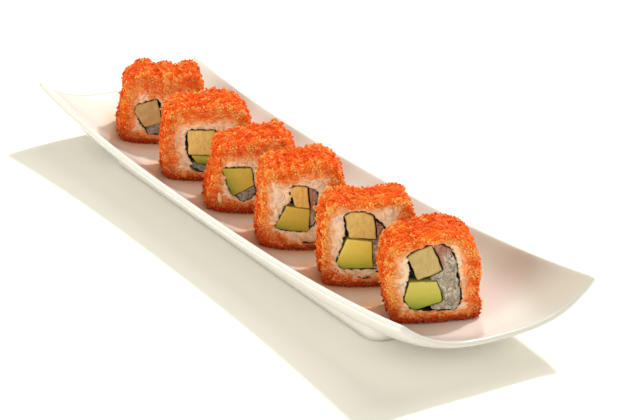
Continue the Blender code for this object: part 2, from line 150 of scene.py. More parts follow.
# each omelette's own colour, and where the crab's blush starts, is full, and
# how strong it is
AVOCADO = {2: (0.60, 0.68, 0.62), 3: (0.78, 0.75, 0.78),
           4: (0.78, 0.73, 0.70), 5: (1.02, 1.06, 1.16), 6: (0.74, 0.84, 0.92)}
CRAB = {1: (0.55, 0.62, 0.72), 2: (0.52, 0.60, 0.68), 3: (0.55, 0.60, 0.66),
        4: (0.80, 0.78, 0.76), 5: (0.85, 0.80, 0.76), 6: (0.80, 0.79, 0.78)}
EGG = {1: (0.52, 0.336, 0.133), 2: (0.76, 0.53, 0.160), 4: (0.72, 0.435, 0.109),
       5: (0.68, 0.46, 0.138), 6: (0.50, 0.366, 0.134)}
PINK = {1: (0, 1, 0.1), 2: (0, 1, 0.1), 3: (0, 1, 0.1), 4: (14, 26, 0.8),
        5: (16, 30, 0.9), 6: (33.0, 37.5, 0.97)}
GRAIN_SIZE = 1.17
# how far the roe's colour has run into each slice's rice
RICE_WARM = {1: 0.22, 2: 0.08, 3: 0.0, 4: 0.03, 5: 0.02, 6: 0.13}
# how thin the coat is on the left, the right and the top of each slice
THIN = {1: (0.0, 0.0, 0.0), 2: (0.0, 0.15, 0.30), 3: (0.15, 0.0, 0.08),
        4: (1.00, 0.0, 0.10), 5: (1.60, 0.40, 0.34), 6: (1.00, 0.40, 0.05)}
# where the sheet's loose end shows in the rice below the fillings
TAILS = {2: (((-9.5, 9.0), (-6.0, 6.6), (-1.0, 5.6), (4.0, 6.2)),),
         4: (((-3.0, 4.6), (2.0, 4.0), (8.0, 5.2), (13.0, 7.4)),),
         5: (((-4.5, 5.6), (-1.5, 5.0), (1.5, 5.4)),
             ((4.0, 8.2), (6.5, 7.2), (9.0, 7.6)))}


# ---------------------------------------------------------------------------
# Small tools
# ---------------------------------------------------------------------------
def mesh_from(name, verts, faces, smooth=True):
    """verts: (n, 3) metres; faces: one (m, k) array or a list of them."""
    mesh = bpy.data.meshes.new(name)
    blocks = faces if isinstance(faces, list) else [faces]
    blocks = [np.asarray(b, np.int32) for b in blocks if len(b)]
    mesh.vertices.add(len(verts))
    mesh.vertices.foreach_set("co", np.asarray(verts, np.float32).ravel())
    loops = np.concatenate([b.ravel() for b in blocks])
    sizes = np.concatenate([np.full(len(b), b.shape[1], np.int32)
                            for b in blocks])
    starts = np.concatenate([[0], np.cumsum(sizes)[:-1]]).astype(np.int32)
    mesh.loops.add(len(loops))
    mesh.loops.foreach_set("vertex_index", loops)
    mesh.polygons.add(len(sizes))
    mesh.polygons.foreach_set("loop_start", starts)
    mesh.update(calc_edges=True)
    if smooth:
        mesh.polygons.foreach_set("use_smooth",
                                  np.ones(len(sizes), bool))
    mesh.validate()
    return mesh


def new_object(name, mesh, mat=None):
    obj = bpy.data.objects.new(name, mesh)
    bpy.context.scene.collection.objects.link(obj)
    if mat is not None:
        mesh.materials.append(mat)
    return obj


def set_float(mesh, name, values):
    att = mesh.attributes.new(name, 'FLOAT', 'POINT')
    att.data.foreach_set("value", np.asarray(values, np.float32))


def set_vector(mesh, name, values):
    att = mesh.attributes.new(name, 'FLOAT_VECTOR', 'POINT')
    att.data.foreach_set("vector", np.asarray(values, np.float32).ravel())


def smoothstep(a, b, x):
    t = np.clip((x - a) / (b - a), 0, 1)
    return t * t * (3 - 2 * t)


class Wobble:
    """Smooth repeatable noise: a few sine waves in random directions."""

    def __init__(self, seed, scale, dims=3, waves=9):
        rng = np.random.default_rng(seed)
        self.k = rng.normal(size=(waves, dims))
        self.k /= np.linalg.norm(self.k, axis=1)[:, None]
        self.k *= (math.tau / scale) * rng.uniform(0.5, 1.6, waves)[:, None]
        self.p = rng.uniform(0, math.tau, waves)
        self.n = 1 / math.sqrt(waves / 2)

    def __call__(self, *xs):
        x = np.stack(np.broadcast_arrays(*xs), -1)
        return np.sin(x @ self.k.T + self.p).sum(-1) * self.n


# ---------------------------------------------------------------------------
# Materials
# ---------------------------------------------------------------------------
class Mat:
    """A node material with one Principled shader and short helpers."""

    def __init__(self, name, **sockets):
        self.mat = bpy.data.materials.new(name)
        self.mat.use_nodes = True
        self.tree = self.mat.node_tree
        self.shader = self.tree.nodes["Principled BSDF"]
        for key, value in sockets.items():
            self.shader.inputs[key.replace("_", " ")].default_value = value

    def node(self, kind, **props):
        n = self.tree.nodes.new(kind)
        for k, v in props.items():
            setattr(n, k, v)
        return n

    def link(self, a, b):
        self.tree.links.new(a, b)

    def attribute(self, name, vector=False):
        n = self.node("ShaderNodeAttribute", attribute_name=name)
        return n.outputs["Vector" if vector else "Fac"]

    def coords(self):
        return self.node("ShaderNodeTexCoord").outputs["Object"]

    def noise(self, scale, detail=3.0, rough=0.5, vector=None, distort=0.0):
        n = self.node("ShaderNodeTexNoise")
        n.inputs["Scale"].default_value = scale
        n.inputs["Detail"].default_value = detail
        n.inputs["Roughness"].default_value = rough
        n.inputs["Distortion"].default_value = distort
        self.link(vector if vector is not None else self.coords(),
                  n.inputs["Vector"])
        return n.outputs["Fac"]

    def voronoi(self, scale, feature='F1', vector=None, out="Distance"):
        n = self.node("ShaderNodeTexVoronoi", feature=feature)
        n.inputs["Scale"].default_value = scale
        self.link(vector if vector is not None else self.coords(),
                  n.inputs["Vector"])
        return n.outputs[out]

    def stretch(self, vector, scale):
        n = self.node("ShaderNodeMapping")
        n.inputs["Scale"].default_value = scale
        self.link(vector, n.inputs["Vector"])
        return n.outputs["Vector"]

    def math(self, op, a, b=None, c=None, clamp=False):
        n = self.node("ShaderNodeMath", operation=op, use_clamp=clamp)
        for i, v in enumerate((a, b, c)):
            if v is None:
                continue
            if isinstance(v, (int, float)):
                n.inputs[i].default_value = v
            else:
                self.link(v, n.inputs[i])
        return n.outputs[0]

    def ramp(self, fac, stops):
        n = self.node("ShaderNodeValToRGB")
        elements = n.color_ramp.elements
        while len(elements) < len(stops):
            elements.new(0.5)
        for e, (pos, col) in zip(elements, stops):
            e.position = pos
            e.color = (*col, 1.0)
        self.link(fac, n.inputs["Fac"])
        return n.outputs["Color"]

    def mix(self, fac, a, b, blend='MIX'):
        n = self.node("ShaderNodeMix", data_type='RGBA', blend_type=blend)
        for name, v in (("Factor", fac), ("A", a), ("B", b)):
            socket = [s for s in n.inputs if s.name == name
                      and (s.type == ('VALUE' if name == "Factor" else 'RGBA'))][0]
            if isinstance(v, (int, float)):
                socket.default_value = v
            elif isinstance(v, tuple):
                socket.default_value = (*v, 1.0)
            else:
                self.link(v, socket)
        return [s for s in n.outputs if s.type == 'RGBA'][0]

    def colour(self, socket):
        self.link(socket, self.shader.inputs["Base Color"])

    def rough(self, socket):
        self.link(socket, self.shader.inputs["Roughness"])

    def bump(self, height, distance, strength=1.0):
        n = self.node("ShaderNodeBump")
        n.inputs["Strength"].default_value = strength
        n.inputs["Distance"].default_value = distance
        self.link(height, n.inputs["Height"])
        self.link(n.outputs["Normal"], self.shader.inputs["Normal"])


def porcelain():
    m = Mat("porcelain_glaze", Roughness=0.16, IOR=1.52)
    m.shader.inputs["Coat Weight"].default_value = 0.35
    m.shader.inputs["Coat Roughness"].default_value = 0.06
    cloud = m.noise(9.0, 3.0, 0.55)
    # painted light: the outer wall's copy of the glaze is a little lighter and less yellow
    # than the inner one
    outer = m.ramp(cloud, [(0.30, (0.868, 0.857, 0.820)),
                           (0.70, (0.902, 0.891, 0.854))])
    inner = m.ramp(cloud, [(0.30, (0.865, 0.856, 0.808)),
                           (0.70, (0.890, 0.880, 0.830))])
    glaze = m.mix(m.attribute("inside"), outer, inner)
    # painted shade and bounce: round the slices the glaze is painted warmer and darker,
    # for their shade and the roe's bounced colour
    painted_warm_shade = m.math('MULTIPLY', m.attribute("painted_warm_shade"),
                  m.math('MULTIPLY_ADD', m.noise(22.0, 3.0), 0.5, 0.75),
                  clamp=True)
    warm = m.mix(painted_warm_shade, glaze, (0.95, 0.690, 0.450))
    # painted shade: the far wall beyond the last slice, darkened to tan
    warm = m.mix(m.math('MULTIPLY', m.attribute("crab_pink_and_painted_wall_shade"), 0.72), warm,
                 (0.600, 0.545, 0.440))
    # painted shade on the lip of each end
    warm = m.mix(m.math('MULTIPLY', m.attribute("lip"), 0.8), warm,
                 (0.60, 0.585, 0.54))
    # the foot is left rough as unglazed, and its colour is painted darker for the contact
    # shade under the plate
    bare = m.attribute("foot")
    m.colour(m.mix(bare, warm, (0.60, 0.585, 0.535)))
    m.rough(m.math('ADD', m.math('MULTIPLY_ADD', m.noise(40.0, 4.0), 0.10,
                                 0.12), m.math('MULTIPLY', bare, 0.5)))
    m.bump(m.noise(60.0, 3.0, 0.4), 0.00006, 0.5)
    return m.mat


def roe_colour(m, fac):
    """Roe from deep orange to the pale places where rice shows through, with painted shade
    towards the bottom.
    """
    low = m.attribute("low")
    pale = m.attribute("pale")
    patch = m.noise(190.0, 1.0, 0.5)
    spot = m.ramp(patch, [(0.60, (0.0, 0.0, 0.0)), (0.74, (1.0, 1.0, 1.0))])
    body = m.ramp(fac, [(0.0, (0.84, 0.072, 0.0008)),
                        (0.35, (0.95, 0.118, 0.0012)),
                        (0.70, (0.985, 0.170, 0.0025)),
                        (1.0, (0.99, 0.270, 0.008))])
    some = m.math('ADD', m.math('MULTIPLY', spot, 0.46),
                  m.math('MULTIPLY', pale, 0.90), clamp=True)
    lit = m.mix(some, body, (0.99, 0.45, 0.115))
    # painted shade: the roe is darkened towards the bottom of each slice, for its contact
    # shade
    return m.mix(m.math('MULTIPLY', low, 0.95), lit, (0.40, 0.026, 0.001))


def roe_grain():
    m = Mat("roe_grain", Roughness=0.24, IOR=1.36)
    m.shader.inputs["Specular IOR Level"].default_value = 0.28
    m.shader.inputs["Subsurface Weight"].default_value = 0.45
    m.shader.inputs["Subsurface Scale"].default_value = 0.0016
    m.shader.inputs["Subsurface Radius"].default_value = (1.0, 0.30, 0.05)
    tone = m.attribute("tone")
    patch = m.noise(110.0, 1.0, 0.5)
    fac = m.math('ADD', m.math('MULTIPLY', tone, 0.22),
                 m.math('MULTIPLY_ADD', patch, 1.6, -0.48), clamp=True)
    m.colour(roe_colour(m, fac))
    m.rough(m.math('MULTIPLY_ADD', tone, 0.20, 0.26))
    return m.mat


def roe_bed():
    m = Mat("roe_bed", Roughness=0.35, IOR=1.36)
    m.shader.inputs["Specular IOR Level"].default_value = 0.25
    m.shader.inputs["Subsurface Weight"].default_value = 0.35
    m.shader.inputs["Subsurface Scale"].default_value = 0.0014
    m.shader.inputs["Subsurface Radius"].default_value = (1.0, 0.30, 0.06)
    cell = m.voronoi(950.0)
    patch = m.noise(110.0, 1.0, 0.5)
    fac = m.math('MULTIPLY_ADD', patch, 1.6, -0.48, clamp=True)
    m.colour(roe_colour(m, fac))
    m.bump(m.math('SUBTRACT', 1.0, cell), 0.0006, 0.9)
    return m.mat


def rice_grain():
    m = Mat("rice_grain", Roughness=0.38, IOR=1.42)
    m.shader.inputs["Subsurface Weight"].default_value = 0.40
    m.shader.inputs["Subsurface Scale"].default_value = 0.0024
    m.shader.inputs["Subsurface Radius"].default_value = (1.0, 0.60, 0.40)
    stain = m.attribute("stain")
    tone = m.attribute("tone")
    blot = m.noise(260.0, 3.0, 0.6)
    amount = m.math('ADD', stain, m.math('MULTIPLY_ADD', blot, 0.7, -0.35),
                    clamp=True)
    body = m.ramp(tone, [(0.0, (0.86, 0.60, 0.43)), (0.5, (0.90, 0.65, 0.475)),
                         (1.0, (0.93, 0.70, 0.53))])
    dyed = m.ramp(amount, [(0.0, (1.0, 0.97, 0.94)), (0.35, (1.0, 0.84, 0.70)),
                           (0.70, (1.0, 0.56, 0.30)), (1.0, (1.0, 0.38, 0.12))])
    m.colour(m.mix(1.0, body, dyed, 'MULTIPLY'))
    m.rough(m.math('MULTIPLY_ADD', blot, 0.3, 0.22))
    m.bump(m.noise(800.0, 3.0, 0.6), 0.00018, 0.7)
    return m.mat


def nori_sheet():
    m = Mat("nori_sheet", Roughness=0.42, IOR=1.45)
    fine = m.noise(420.0, 4.0, 0.65)
    m.colour(m.ramp(fine, [(0.30, (0.006, 0.006, 0.003)),
                           (0.60, (0.018, 0.018, 0.009)),
                           (0.85, (0.050, 0.042, 0.022))]))
    m.rough(m.math('MULTIPLY_ADD', fine, 0.4, 0.22))
    m.bump(m.noise(700.0, 4.0, 0.6), 0.0003, 0.8)
    return m.mat


def egg_flesh():
    m = Mat("egg_omelette", Roughness=0.48, IOR=1.40)
    m.shader.inputs["Subsurface Weight"].default_value = 0.2
    m.shader.inputs["Subsurface Scale"].default_value = 0.0018
    m.shader.inputs["Subsurface Radius"].default_value = (1.0, 0.7, 0.3)
    loc = m.attribute("loc", vector=True)
    tint = m.attribute("tint", vector=True)
    broad = m.noise(0.20, 3.0, 0.55, vector=loc)
    grain = m.noise(1.1, 3.0, 0.6, vector=m.stretch(loc, (1.0, 0.22, 0.2)))
    fac = m.math('ADD', m.math('MULTIPLY', grain, 0.55),
                 m.math('MULTIPLY', broad, 0.55), clamp=True)
    shade = m.ramp(fac, [(0.35, (0.84, 0.80, 0.70)),
                         (0.55, (1.0, 1.0, 1.0)),
                         (0.78, (1.12, 1.17, 1.32))])
    flesh = m.mix(1.0, tint, shade, 'MULTIPLY')
    rim = m.attribute("rim")
    skin = m.mix(m.math('MULTIPLY', rim, 0.45), flesh, (0.40, 0.26, 0.085))
    slits = m.noise(0.42, 2.0, 0.5, vector=m.stretch(loc, (1.0, 0.16, 0.1)),
                    distort=0.6)
    cut = m.ramp(slits, [(0.490, (0.0, 0.0, 0.0)), (0.502, (1.0, 1.0, 1.0)),
                         (0.514, (0.0, 0.0, 0.0))])
    shy = m.ramp(m.noise(0.30, 2.0, vector=loc),
                 [(0.50, (0.0, 0.0, 0.0)), (0.60, (1.0, 1.0, 1.0))])
    mark = m.math('MULTIPLY', cut, shy)
    m.colour(m.mix(m.math('MULTIPLY', mark, 0.75), skin, (0.26, 0.165, 0.05)))
    m.rough(m.math('MULTIPLY_ADD', broad, 0.3, 0.32))
    m.bump(m.math('SUBTRACT', grain, m.math('MULTIPLY', mark, 1.5)),
           0.00035, 0.5)
    return m.mat


def avocado_flesh():
    m = Mat("avocado_flesh", Roughness=0.32, IOR=1.42)
    m.shader.inputs["Subsurface Weight"].default_value = 0.2
    m.shader.inputs["Subsurface Scale"].default_value = 0.0016
    m.shader.inputs["Subsurface Radius"].default_value = (0.8, 1.0, 0.3)
    loc = m.attribute("loc", vector=True)
    skin = m.attribute("skin")
    blur = m.noise(0.16, 2.0, 0.5, vector=loc)
    fac = m.math('ADD', skin, m.math('MULTIPLY_ADD', blur, 0.26, -0.13),
                 clamp=True)
    flesh = m.ramp(fac, [(0.0, (0.80, 0.60, 0.110)),
                         (0.45, (0.74, 0.58, 0.085)),
                         (0.72, (0.56, 0.48, 0.050)),
                         (0.90, (0.33, 0.36, 0.025)),
                         (1.0, (0.13, 0.19, 0.012))])
    m.colour(m.mix(1.0, flesh, m.attribute("tint", vector=True), 'MULTIPLY'))
    m.rough(m.math('MULTIPLY_ADD', blur, 0.25, 0.22))
    m.bump(m.noise(0.9, 3.0, 0.5, vector=m.stretch(loc, (0.4, 1.0, 0.3))),
           0.0002, 0.4)
    return m.mat


def crab_flesh():
    m = Mat("crab_flesh", Roughness=0.40, IOR=1.40)
    m.shader.inputs["Subsurface Weight"].default_value = 0.25
    m.shader.inputs["Subsurface Scale"].default_value = 0.0018
    m.shader.inputs["Subsurface Radius"].default_value = (1.0, 0.6, 0.45)
    loc = m.attribute("loc", vector=True)
    pink = m.attribute("pink")
    fibre = m.noise(0.42, 4.0, 0.6, vector=m.stretch(loc, (1.3, 0.7, 0.3)),
                    distort=0.8)
    pits = m.noise(0.50, 4.0, 0.75, vector=loc, distort=2.0)
    holes = m.ramp(pits, [(0.36, (1.0, 1.0, 1.0)), (0.42, (0.0, 0.0, 0.0))])
    seam = m.ramp(m.voronoi(0.24, feature='DISTANCE_TO_EDGE',
                            vector=m.stretch(loc, (1.0, 0.75, 0.1))),
                  [(0.0, (1.0, 1.0, 1.0)), (0.035, (0.0, 0.0, 0.0))])
    some = m.ramp(m.noise(0.30, 2.0, vector=loc),
                  [(0.50, (0.0, 0.0, 0.0)), (0.60, (1.0, 1.0, 1.0))])
    cut = m.math('ADD', holes, m.math('MULTIPLY', seam, some), clamp=True)
    glint = m.ramp(m.noise(0.62, 3.0, 0.7, vector=m.stretch(loc, (1, 0.8, 0.5)),
                           distort=1.0),
                   [(0.60, (0.0, 0.0, 0.0)), (0.70, (1.0, 1.0, 1.0))])
    flesh = m.ramp(fibre, [(0.32, (0.30, 0.245, 0.170)),
                           (0.50, (0.53, 0.455, 0.340)),
                           (0.66, (0.84, 0.775, 0.660))])
    flesh = m.mix(m.math('MULTIPLY', glint, 0.65), flesh, (0.95, 0.92, 0.86))
    tinted = m.mix(1.0, flesh, m.attribute("tint", vector=True), 'MULTIPLY')
    crab_pink_and_painted_wall_shade = m.mix(pink, tinted, (0.40, 0.165, 0.105))
    m.colour(m.mix(m.math('MULTIPLY', cut, 0.80), crab_pink_and_painted_wall_shade, (0.060, 0.045, 0.03)))
    m.rough(m.math('MULTIPLY_ADD', fibre, 0.3, 0.22))
    m.bump(m.math('SUBTRACT', fibre, m.math('MULTIPLY', cut, 1.0)),
           0.0007, 0.8)
    return m.mat


# ---------------------------------------------------------------------------
# The plate
# ---------------------------------------------------------------------------
def plate_height(u, v):
    u, v = np.abs(u), np.abs(v)
    floor = FLOOR_HEIGHT + (END_HEIGHT - FLOOR_HEIGHT) * u ** END_SWEEP
    rim = RIM_MIDDLE + (RIM_CORNER - RIM_MIDDLE) * u ** RIM_SWEEP
    return floor + (rim - floor) * v ** SIDE_CURVE


def floor_at(x, y):
    v = np.minimum(1.0, np.abs(y) / (PLATE_WIDTH / 2))
    u = np.minimum(1.0, np.abs(x) / (PLATE_LENGTH / 2
                                     + END_BULGE * (1 - v * v)))
    return plate_height(u, v)


def sheet_points(u, v):
    half = PLATE_LENGTH / 2 + END_BULGE * (1 - v * v)
    return np.stack([u * half, v * PLATE_WIDTH / 2, plate_height(u, v)], -1)


def make_plate(mat):
    nu, nv = 150, 44
    s = np.linspace(-1, 1, nu + 1)
    t = np.linspace(-1, 1, nv + 1)
    su = np.sign(s) * (1 - (1 - np.abs(s)) ** 1.15)
    tv = np.sign(t) * (1 - (1 - np.abs(t)) ** 1.15)
    # the sheet stops short of the edge by the lip's round
    radius = 1.15
    u, v = np.meshgrid(su * (1 - radius / 195), tv * (1 - radius / 68),
                       indexing="ij")
    top = sheet_points(u, v)
    du = np.gradient(top, axis=0)
    dv = np.gradient(top, axis=1)
    normal = np.cross(du, dv)
    normal /= np.linalg.norm(normal, axis=-1)[..., None]
    # the wall thins a little towards the rim, as thrown or pressed ware does
    wall = PLATE_WALL - np.maximum(1.5 * np.abs(u) ** 16,
                                   0.6 * np.abs(v) ** 10)
    low = top - normal * wall[..., None]
    # the rim: a rounded lip from the inner crest to the outer edge
    steps = 5
    rings = []
    ring_index = ([(i, 0) for i in range(nu)] + [(nu, j) for j in range(nv)]
                  + [(i, nv) for i in range(nu, 0, -1)]
                  + [(0, j) for j in range(nv, 0, -1)])
    ring_index = np.array(ring_index)
    a = top[ring_index[:, 0], ring_index[:, 1]]
    b = low[ring_index[:, 0], ring_index[:, 1]]
    tangent = np.roll(a, -1, 0) - np.roll(a, 1, 0)
    tangent /= np.linalg.norm(tangent, axis=1)[:, None]
    out = np.cross(tangent, a - b)
    out /= np.linalg.norm(out, axis=1)[:, None]
    centre = np.array([0, 0, a[:, 2].mean()])
    flip = np.sign(((a - centre) * out)[:, :2].sum(1))
    out *= flip[:, None]
    verts = [top.reshape(-1, 3), low.reshape(-1, 3)]
    count = 2 * (nu + 1) * (nv + 1)
    idx_top = np.arange((nu + 1) * (nv + 1)).reshape(nu + 1, nv + 1)
    idx_low = idx_top + (nu + 1) * (nv + 1)
    inner_ring = idx_top[ring_index[:, 0], ring_index[:, 1]]
    outer_ring = idx_low[ring_index[:, 0], ring_index[:, 1]]
    all_v = np.concatenate(verts)
    rings.append(inner_ring)
    for k in range(1, steps + 1):
        f = k / (steps + 1)
        ang = math.pi * f
        mid = (a + b) / 2
        half = np.linalg.norm(a - b, axis=1)[:, None] / 2
        up = (a - b) / (2 * half)
        # a squircle section: flat in the middle and round at both edges
        c, sn = math.cos(ang), math.sin(ang)
        cc = math.copysign(abs(c) ** 0.72, c)
        ss = abs(sn) ** 0.72
        p = mid + up * half * cc + out * radius * ss
        rings.append(np.arange(count, count + len(p)))
        all_v = np.concatenate([all_v, p])
        count += len(p)
    rings.append(outer_ring)
    faces = []
    q = idx_top
    faces.append(np.stack([q[:-1, :-1], q[1:, :-1], q[1:, 1:], q[:-1, 1:]],
                          -1).reshape(-1, 4))
    q = idx_low
    faces.append(np.stack([q[:-1, :-1], q[:-1, 1:], q[1:, 1:], q[1:, :-1]],
                          -1).reshape(-1, 4))
    for r0, r1 in zip(rings, rings[1:]):
        faces.append(np.stack([r0, r1, np.roll(r1, -1), np.roll(r0, -1)], -1))
    mesh = mesh_from("plate_glazed", all_v * MM, faces)
    bm = bmesh.new()
    bm.from_mesh(mesh)
    bmesh.ops.recalc_face_normals(bm, faces=bm.faces)
    bm.to_mesh(mesh)
    bm.free()
    plate = new_object("plate_glazed", mesh, mat)

    # foot ring, joined to the underside
    stations = []
    half_l = (FOOT_LENGTH - FOOT_WALL) / 2
    half_w = (FOOT_WIDTH - FOOT_WALL) / 2
    r = FOOT_CORNER
    corners = ((half_l - r, half_w - r, 0), (r - half_l, half_w - r, 90),
               (r - half_l, r - half_w, 180), (half_l - r, r - half_w, 270))
    for k, (cx, cy, start) in enumerate(corners):
        for i in range(9):
            ang = math.radians(start + 90.0 * i / 8)
            stations.append((cx + r * math.cos(ang), cy + r * math.sin(ang),
                             math.cos(ang), math.sin(ang)))
        nx, ny, begin = corners[(k + 1) % 4]
        ang = math.radians(begin)
        gx, gy = nx + r * math.cos(ang), ny + r * math.sin(ang)
        hx, hy, ox, oy = stations[-1]
        run = 44 if k % 2 == 0 else 10
        for i in range(1, run):
            f = i / run
            stations.append((hx + (gx - hx) * f, hy + (gy - hy) * f, ox, oy))
    st = np.array(stations)
    n = len(st)
    # section of the foot, from inside top round the bottom to outside top:
    # (sideways from its middle line, share of its height)
    section = [(-4.2, 1.0), (-2.6, 0.72), (-2.0, 0.45), (-1.9, 0.12),
               (-1.2, 0.0), (1.2, 0.0), (1.9, 0.12), (2.0, 0.45),
               (2.5, 0.72), (3.9, 1.0)]
    vs, rows = [], []
    for side, share in section:
        x = st[:, 0] + st[:, 2] * side
        y = st[:, 1] + st[:, 3] * side
        roof = floor_at(x, y) - PLATE_WALL * 0.62
        rows.append(np.arange(n) + len(vs) * n)
        z = roof if share == 1.0 else (roof - PLATE_WALL * 0.38) * share
        vs.append(np.stack([x, y, np.maximum(z, 0)], -1))
    fs = []
    for k in range(len(rows)):
        r0, r1 = rows[k], rows[(k + 1) % len(rows)]
        fs.append(np.stack([r0, np.roll(r0, -1), np.roll(r1, -1), r1], -1))
    fmesh = mesh_from("foot", np.concatenate(vs) * MM, fs)
    bm = bmesh.new()
    bm.from_mesh(fmesh)
    bmesh.ops.recalc_face_normals(bm, faces=bm.faces)
    bm.to_mesh(fmesh)
    bm.free()
    foot = new_object("foot", fmesh)
    join = plate.modifiers.new("foot", 'BOOLEAN')
    join.operation = 'UNION'
    join.solver = 'EXACT'
    join.object = foot
    bake_modifiers(plate)
    bpy.data.objects.remove(foot)
    # where the painted warm shade lies round the slices, and where the foot is painted
    # darker
    co = get_points(plate.data) / MM
    height = floor_at(co[:, 0], co[:, 1])
    inside = smoothstep(-1.2, -0.4, co[:, 2] - height)
    near = np.zeros(len(co))
    faint = np.zeros(len(co))
    for item in SLICES:
        x0, y0 = item["at"]
        c, s_ = math.cos(math.radians(item["turn"])), \
            math.sin(math.radians(item["turn"]))
        lx = c * (co[:, 0] - x0) + s_ * (co[:, 1] - y0)
        ly = -s_ * (co[:, 0] - x0) + c * (co[:, 1] - y0)
        away = np.hypot(np.maximum(np.abs(lx) - 15, 0),
                        np.maximum(np.abs(ly) - 24, 0))
        near = np.maximum(near, np.exp(-(away / 8.0) ** 2))
        faint = np.maximum(faint, 0.22 * np.exp(-(away / 20.0) ** 2))
    # painted shade: the far wall beyond the last slice is painted a darker tan, where it
    # stands in shade
    tip = smoothstep(150, 190, co[:, 0])
    crab_pink_and_painted_wall_shade = smoothstep(86, 120, co[:, 0]) * smoothstep(0, 1, (
        co[:, 1] - 31 + 15 * tip) / (17 + 3 * tip))
    set_float(plate.data, "crab_pink_and_painted_wall_shade", crab_pink_and_painted_wall_shade * inside)
    # and the painted warm shade is thinner on the open end beside it
    open_end = (1.0 - 0.8 * smoothstep(121, 130, co[:, 0])) \
        * (1.0 - 0.8 * smoothstep(84, 98, co[:, 0])
           * smoothstep(-24, -33, co[:, 1]))
    set_float(plate.data, "painted_warm_shade", np.maximum(near, faint) * inside * open_end)
    set_float(plate.data, "inside", inside)
    # painted contact shade: the lowest 2.6 mm of the foot is painted darker
    set_float(plate.data, "foot", smoothstep(2.6, 1.6, co[:, 2]))
    # painted shade: the lip of each end is painted greyer, where its underside stands in
    # shade
    reach = PLATE_LENGTH / 2 + END_BULGE * (1 - (co[:, 1] * 2 / PLATE_WIDTH)
                                            ** 2)
    set_float(plate.data, "lip", smoothstep(2.0, 0.9, reach - np.abs(co[:, 0]))
              * smoothstep(0.9, 1.6, 0.3 - (co[:, 2] - height) + 1.0))
    plate.data.shade_smooth()
    plate.data.set_sharp_from_angle(angle=math.radians(55))
    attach(plate, "root")
    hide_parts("plate")
    return plate


def bake_modifiers(obj):
    graph = bpy.context.evaluated_depsgraph_get()
    mesh = bpy.data.meshes.new_from_object(obj.evaluated_get(graph),
                                           depsgraph=graph)
    old = obj.data
    mats = [s.material for s in obj.material_slots]
    obj.modifiers.clear()
    obj.data = mesh
    mesh.materials.clear()
    for m in mats[:1]:
        mesh.materials.append(m)
    bpy.data.meshes.remove(old)


# ---------------------------------------------------------------------------
# Outlines on the cut face, in millimetres
# ---------------------------------------------------------------------------
def rounded(corners, radius=1.8, arc=3):
    points = []
    count = len(corners)
    for k in range(count):
        here = Vector(corners[k])
        back = Vector(corners[k - 1]) - here
        ahead = Vector(corners[(k + 1) % count]) - here
        room = 0.42 * min(back.length, ahead.length)
        back.normalize()
        ahead.normalize()
        half = back.angle(ahead) / 2
        r = min(radius, room * math.tan(half))
        cut = r / math.tan(half)
        middle = here + (back + ahead).normalized() * (r / math.sin(half))
        start = here + back * cut - middle
        end = here + ahead * cut - middle
        for i in range(arc + 1):
            point = start.lerp(end, i / arc).normalized() * r + middle
            points.append((point.x, point.y))
    return np.array(points)


def closed_curve(points, per=40):
    """A dense smooth closed curve through the points."""
    p = np.array(points, float)
    d = np.linalg.norm(np.roll(p, -1, 0) - p, axis=1)
    ahead = (np.roll(p, -1, 0) - p) / d[:, None]
    back = np.roll(ahead, 1, 0)
    db = np.roll(d, 1)
    slope = (ahead * db[:, None] + back * d[:, None]) / (d + db)[:, None]
    f = (np.arange(per) / per)[None, :, None]
    q, m = np.roll(p, -1, 0), np.roll(slope, -1, 0)
    out = (p[:, None] * (2 * f ** 3 - 3 * f ** 2 + 1)
           + (slope * d[:, None])[:, None] * (f ** 3 - 2 * f ** 2 + f)
           + q[:, None] * (3 * f ** 2 - 2 * f ** 3)
           + (m * d[:, None])[:, None] * (f ** 3 - f ** 2))
    return out.reshape(-1, 2)


def resample(points, count):
    """Even steps round a closed outline."""
    p = np.vstack([points, points[:1]])
    seg = np.linalg.norm(np.diff(p, axis=0), axis=1)
    s = np.concatenate([[0], np.cumsum(seg)])
    want = np.linspace(0, s[-1], count, endpoint=False)
    return np.stack([np.interp(want, s, p[:, 0]),
                     np.interp(want, s, p[:, 1])], -1)


def resample_open(points, count):
    step = np.linalg.norm(np.diff(points, axis=0), axis=1)
    run = np.concatenate([[0], np.cumsum(step)])
    t = np.linspace(0, run[-1], count)
    line = np.stack([np.interp(t, run, points[:, 0]),
                     np.interp(t, run, points[:, 1])], -1)
    for _ in range(2):
        line[1:-1] = (line[:-2] + 2 * line[1:-1] + line[2:]) / 4
    return line


def outward(points):
    run = np.roll(points, -1, 0) - np.roll(points, 1, 0)
    n = np.stack([run[:, 1], -run[:, 0]], -1)
    return n / np.linalg.norm(n, axis=1)[:, None]


def signed_area(p):
    q = np.roll(p, -1, 0)
    return 0.5 * (p[:, 0] * q[:, 1] - q[:, 0] * p[:, 1]).sum()


def wrap(point_sets, clear, sides):
    every = np.concatenate(point_sets)
    a = np.linspace(0, math.tau, sides, endpoint=False)
    d = np.stack([np.cos(a), np.sin(a)], -1)
    h = (every @ d.T).max(0) + clear
    d1, h1 = np.roll(d, -1, 0), np.roll(h, -1)
    det = d[:, 0] * d1[:, 1] - d[:, 1] * d1[:, 0]
    return np.stack([(h * d1[:, 1] - h1 * d[:, 1]) / det,
                     (h1 * d[:, 0] - h * d1[:, 0]) / det], -1)


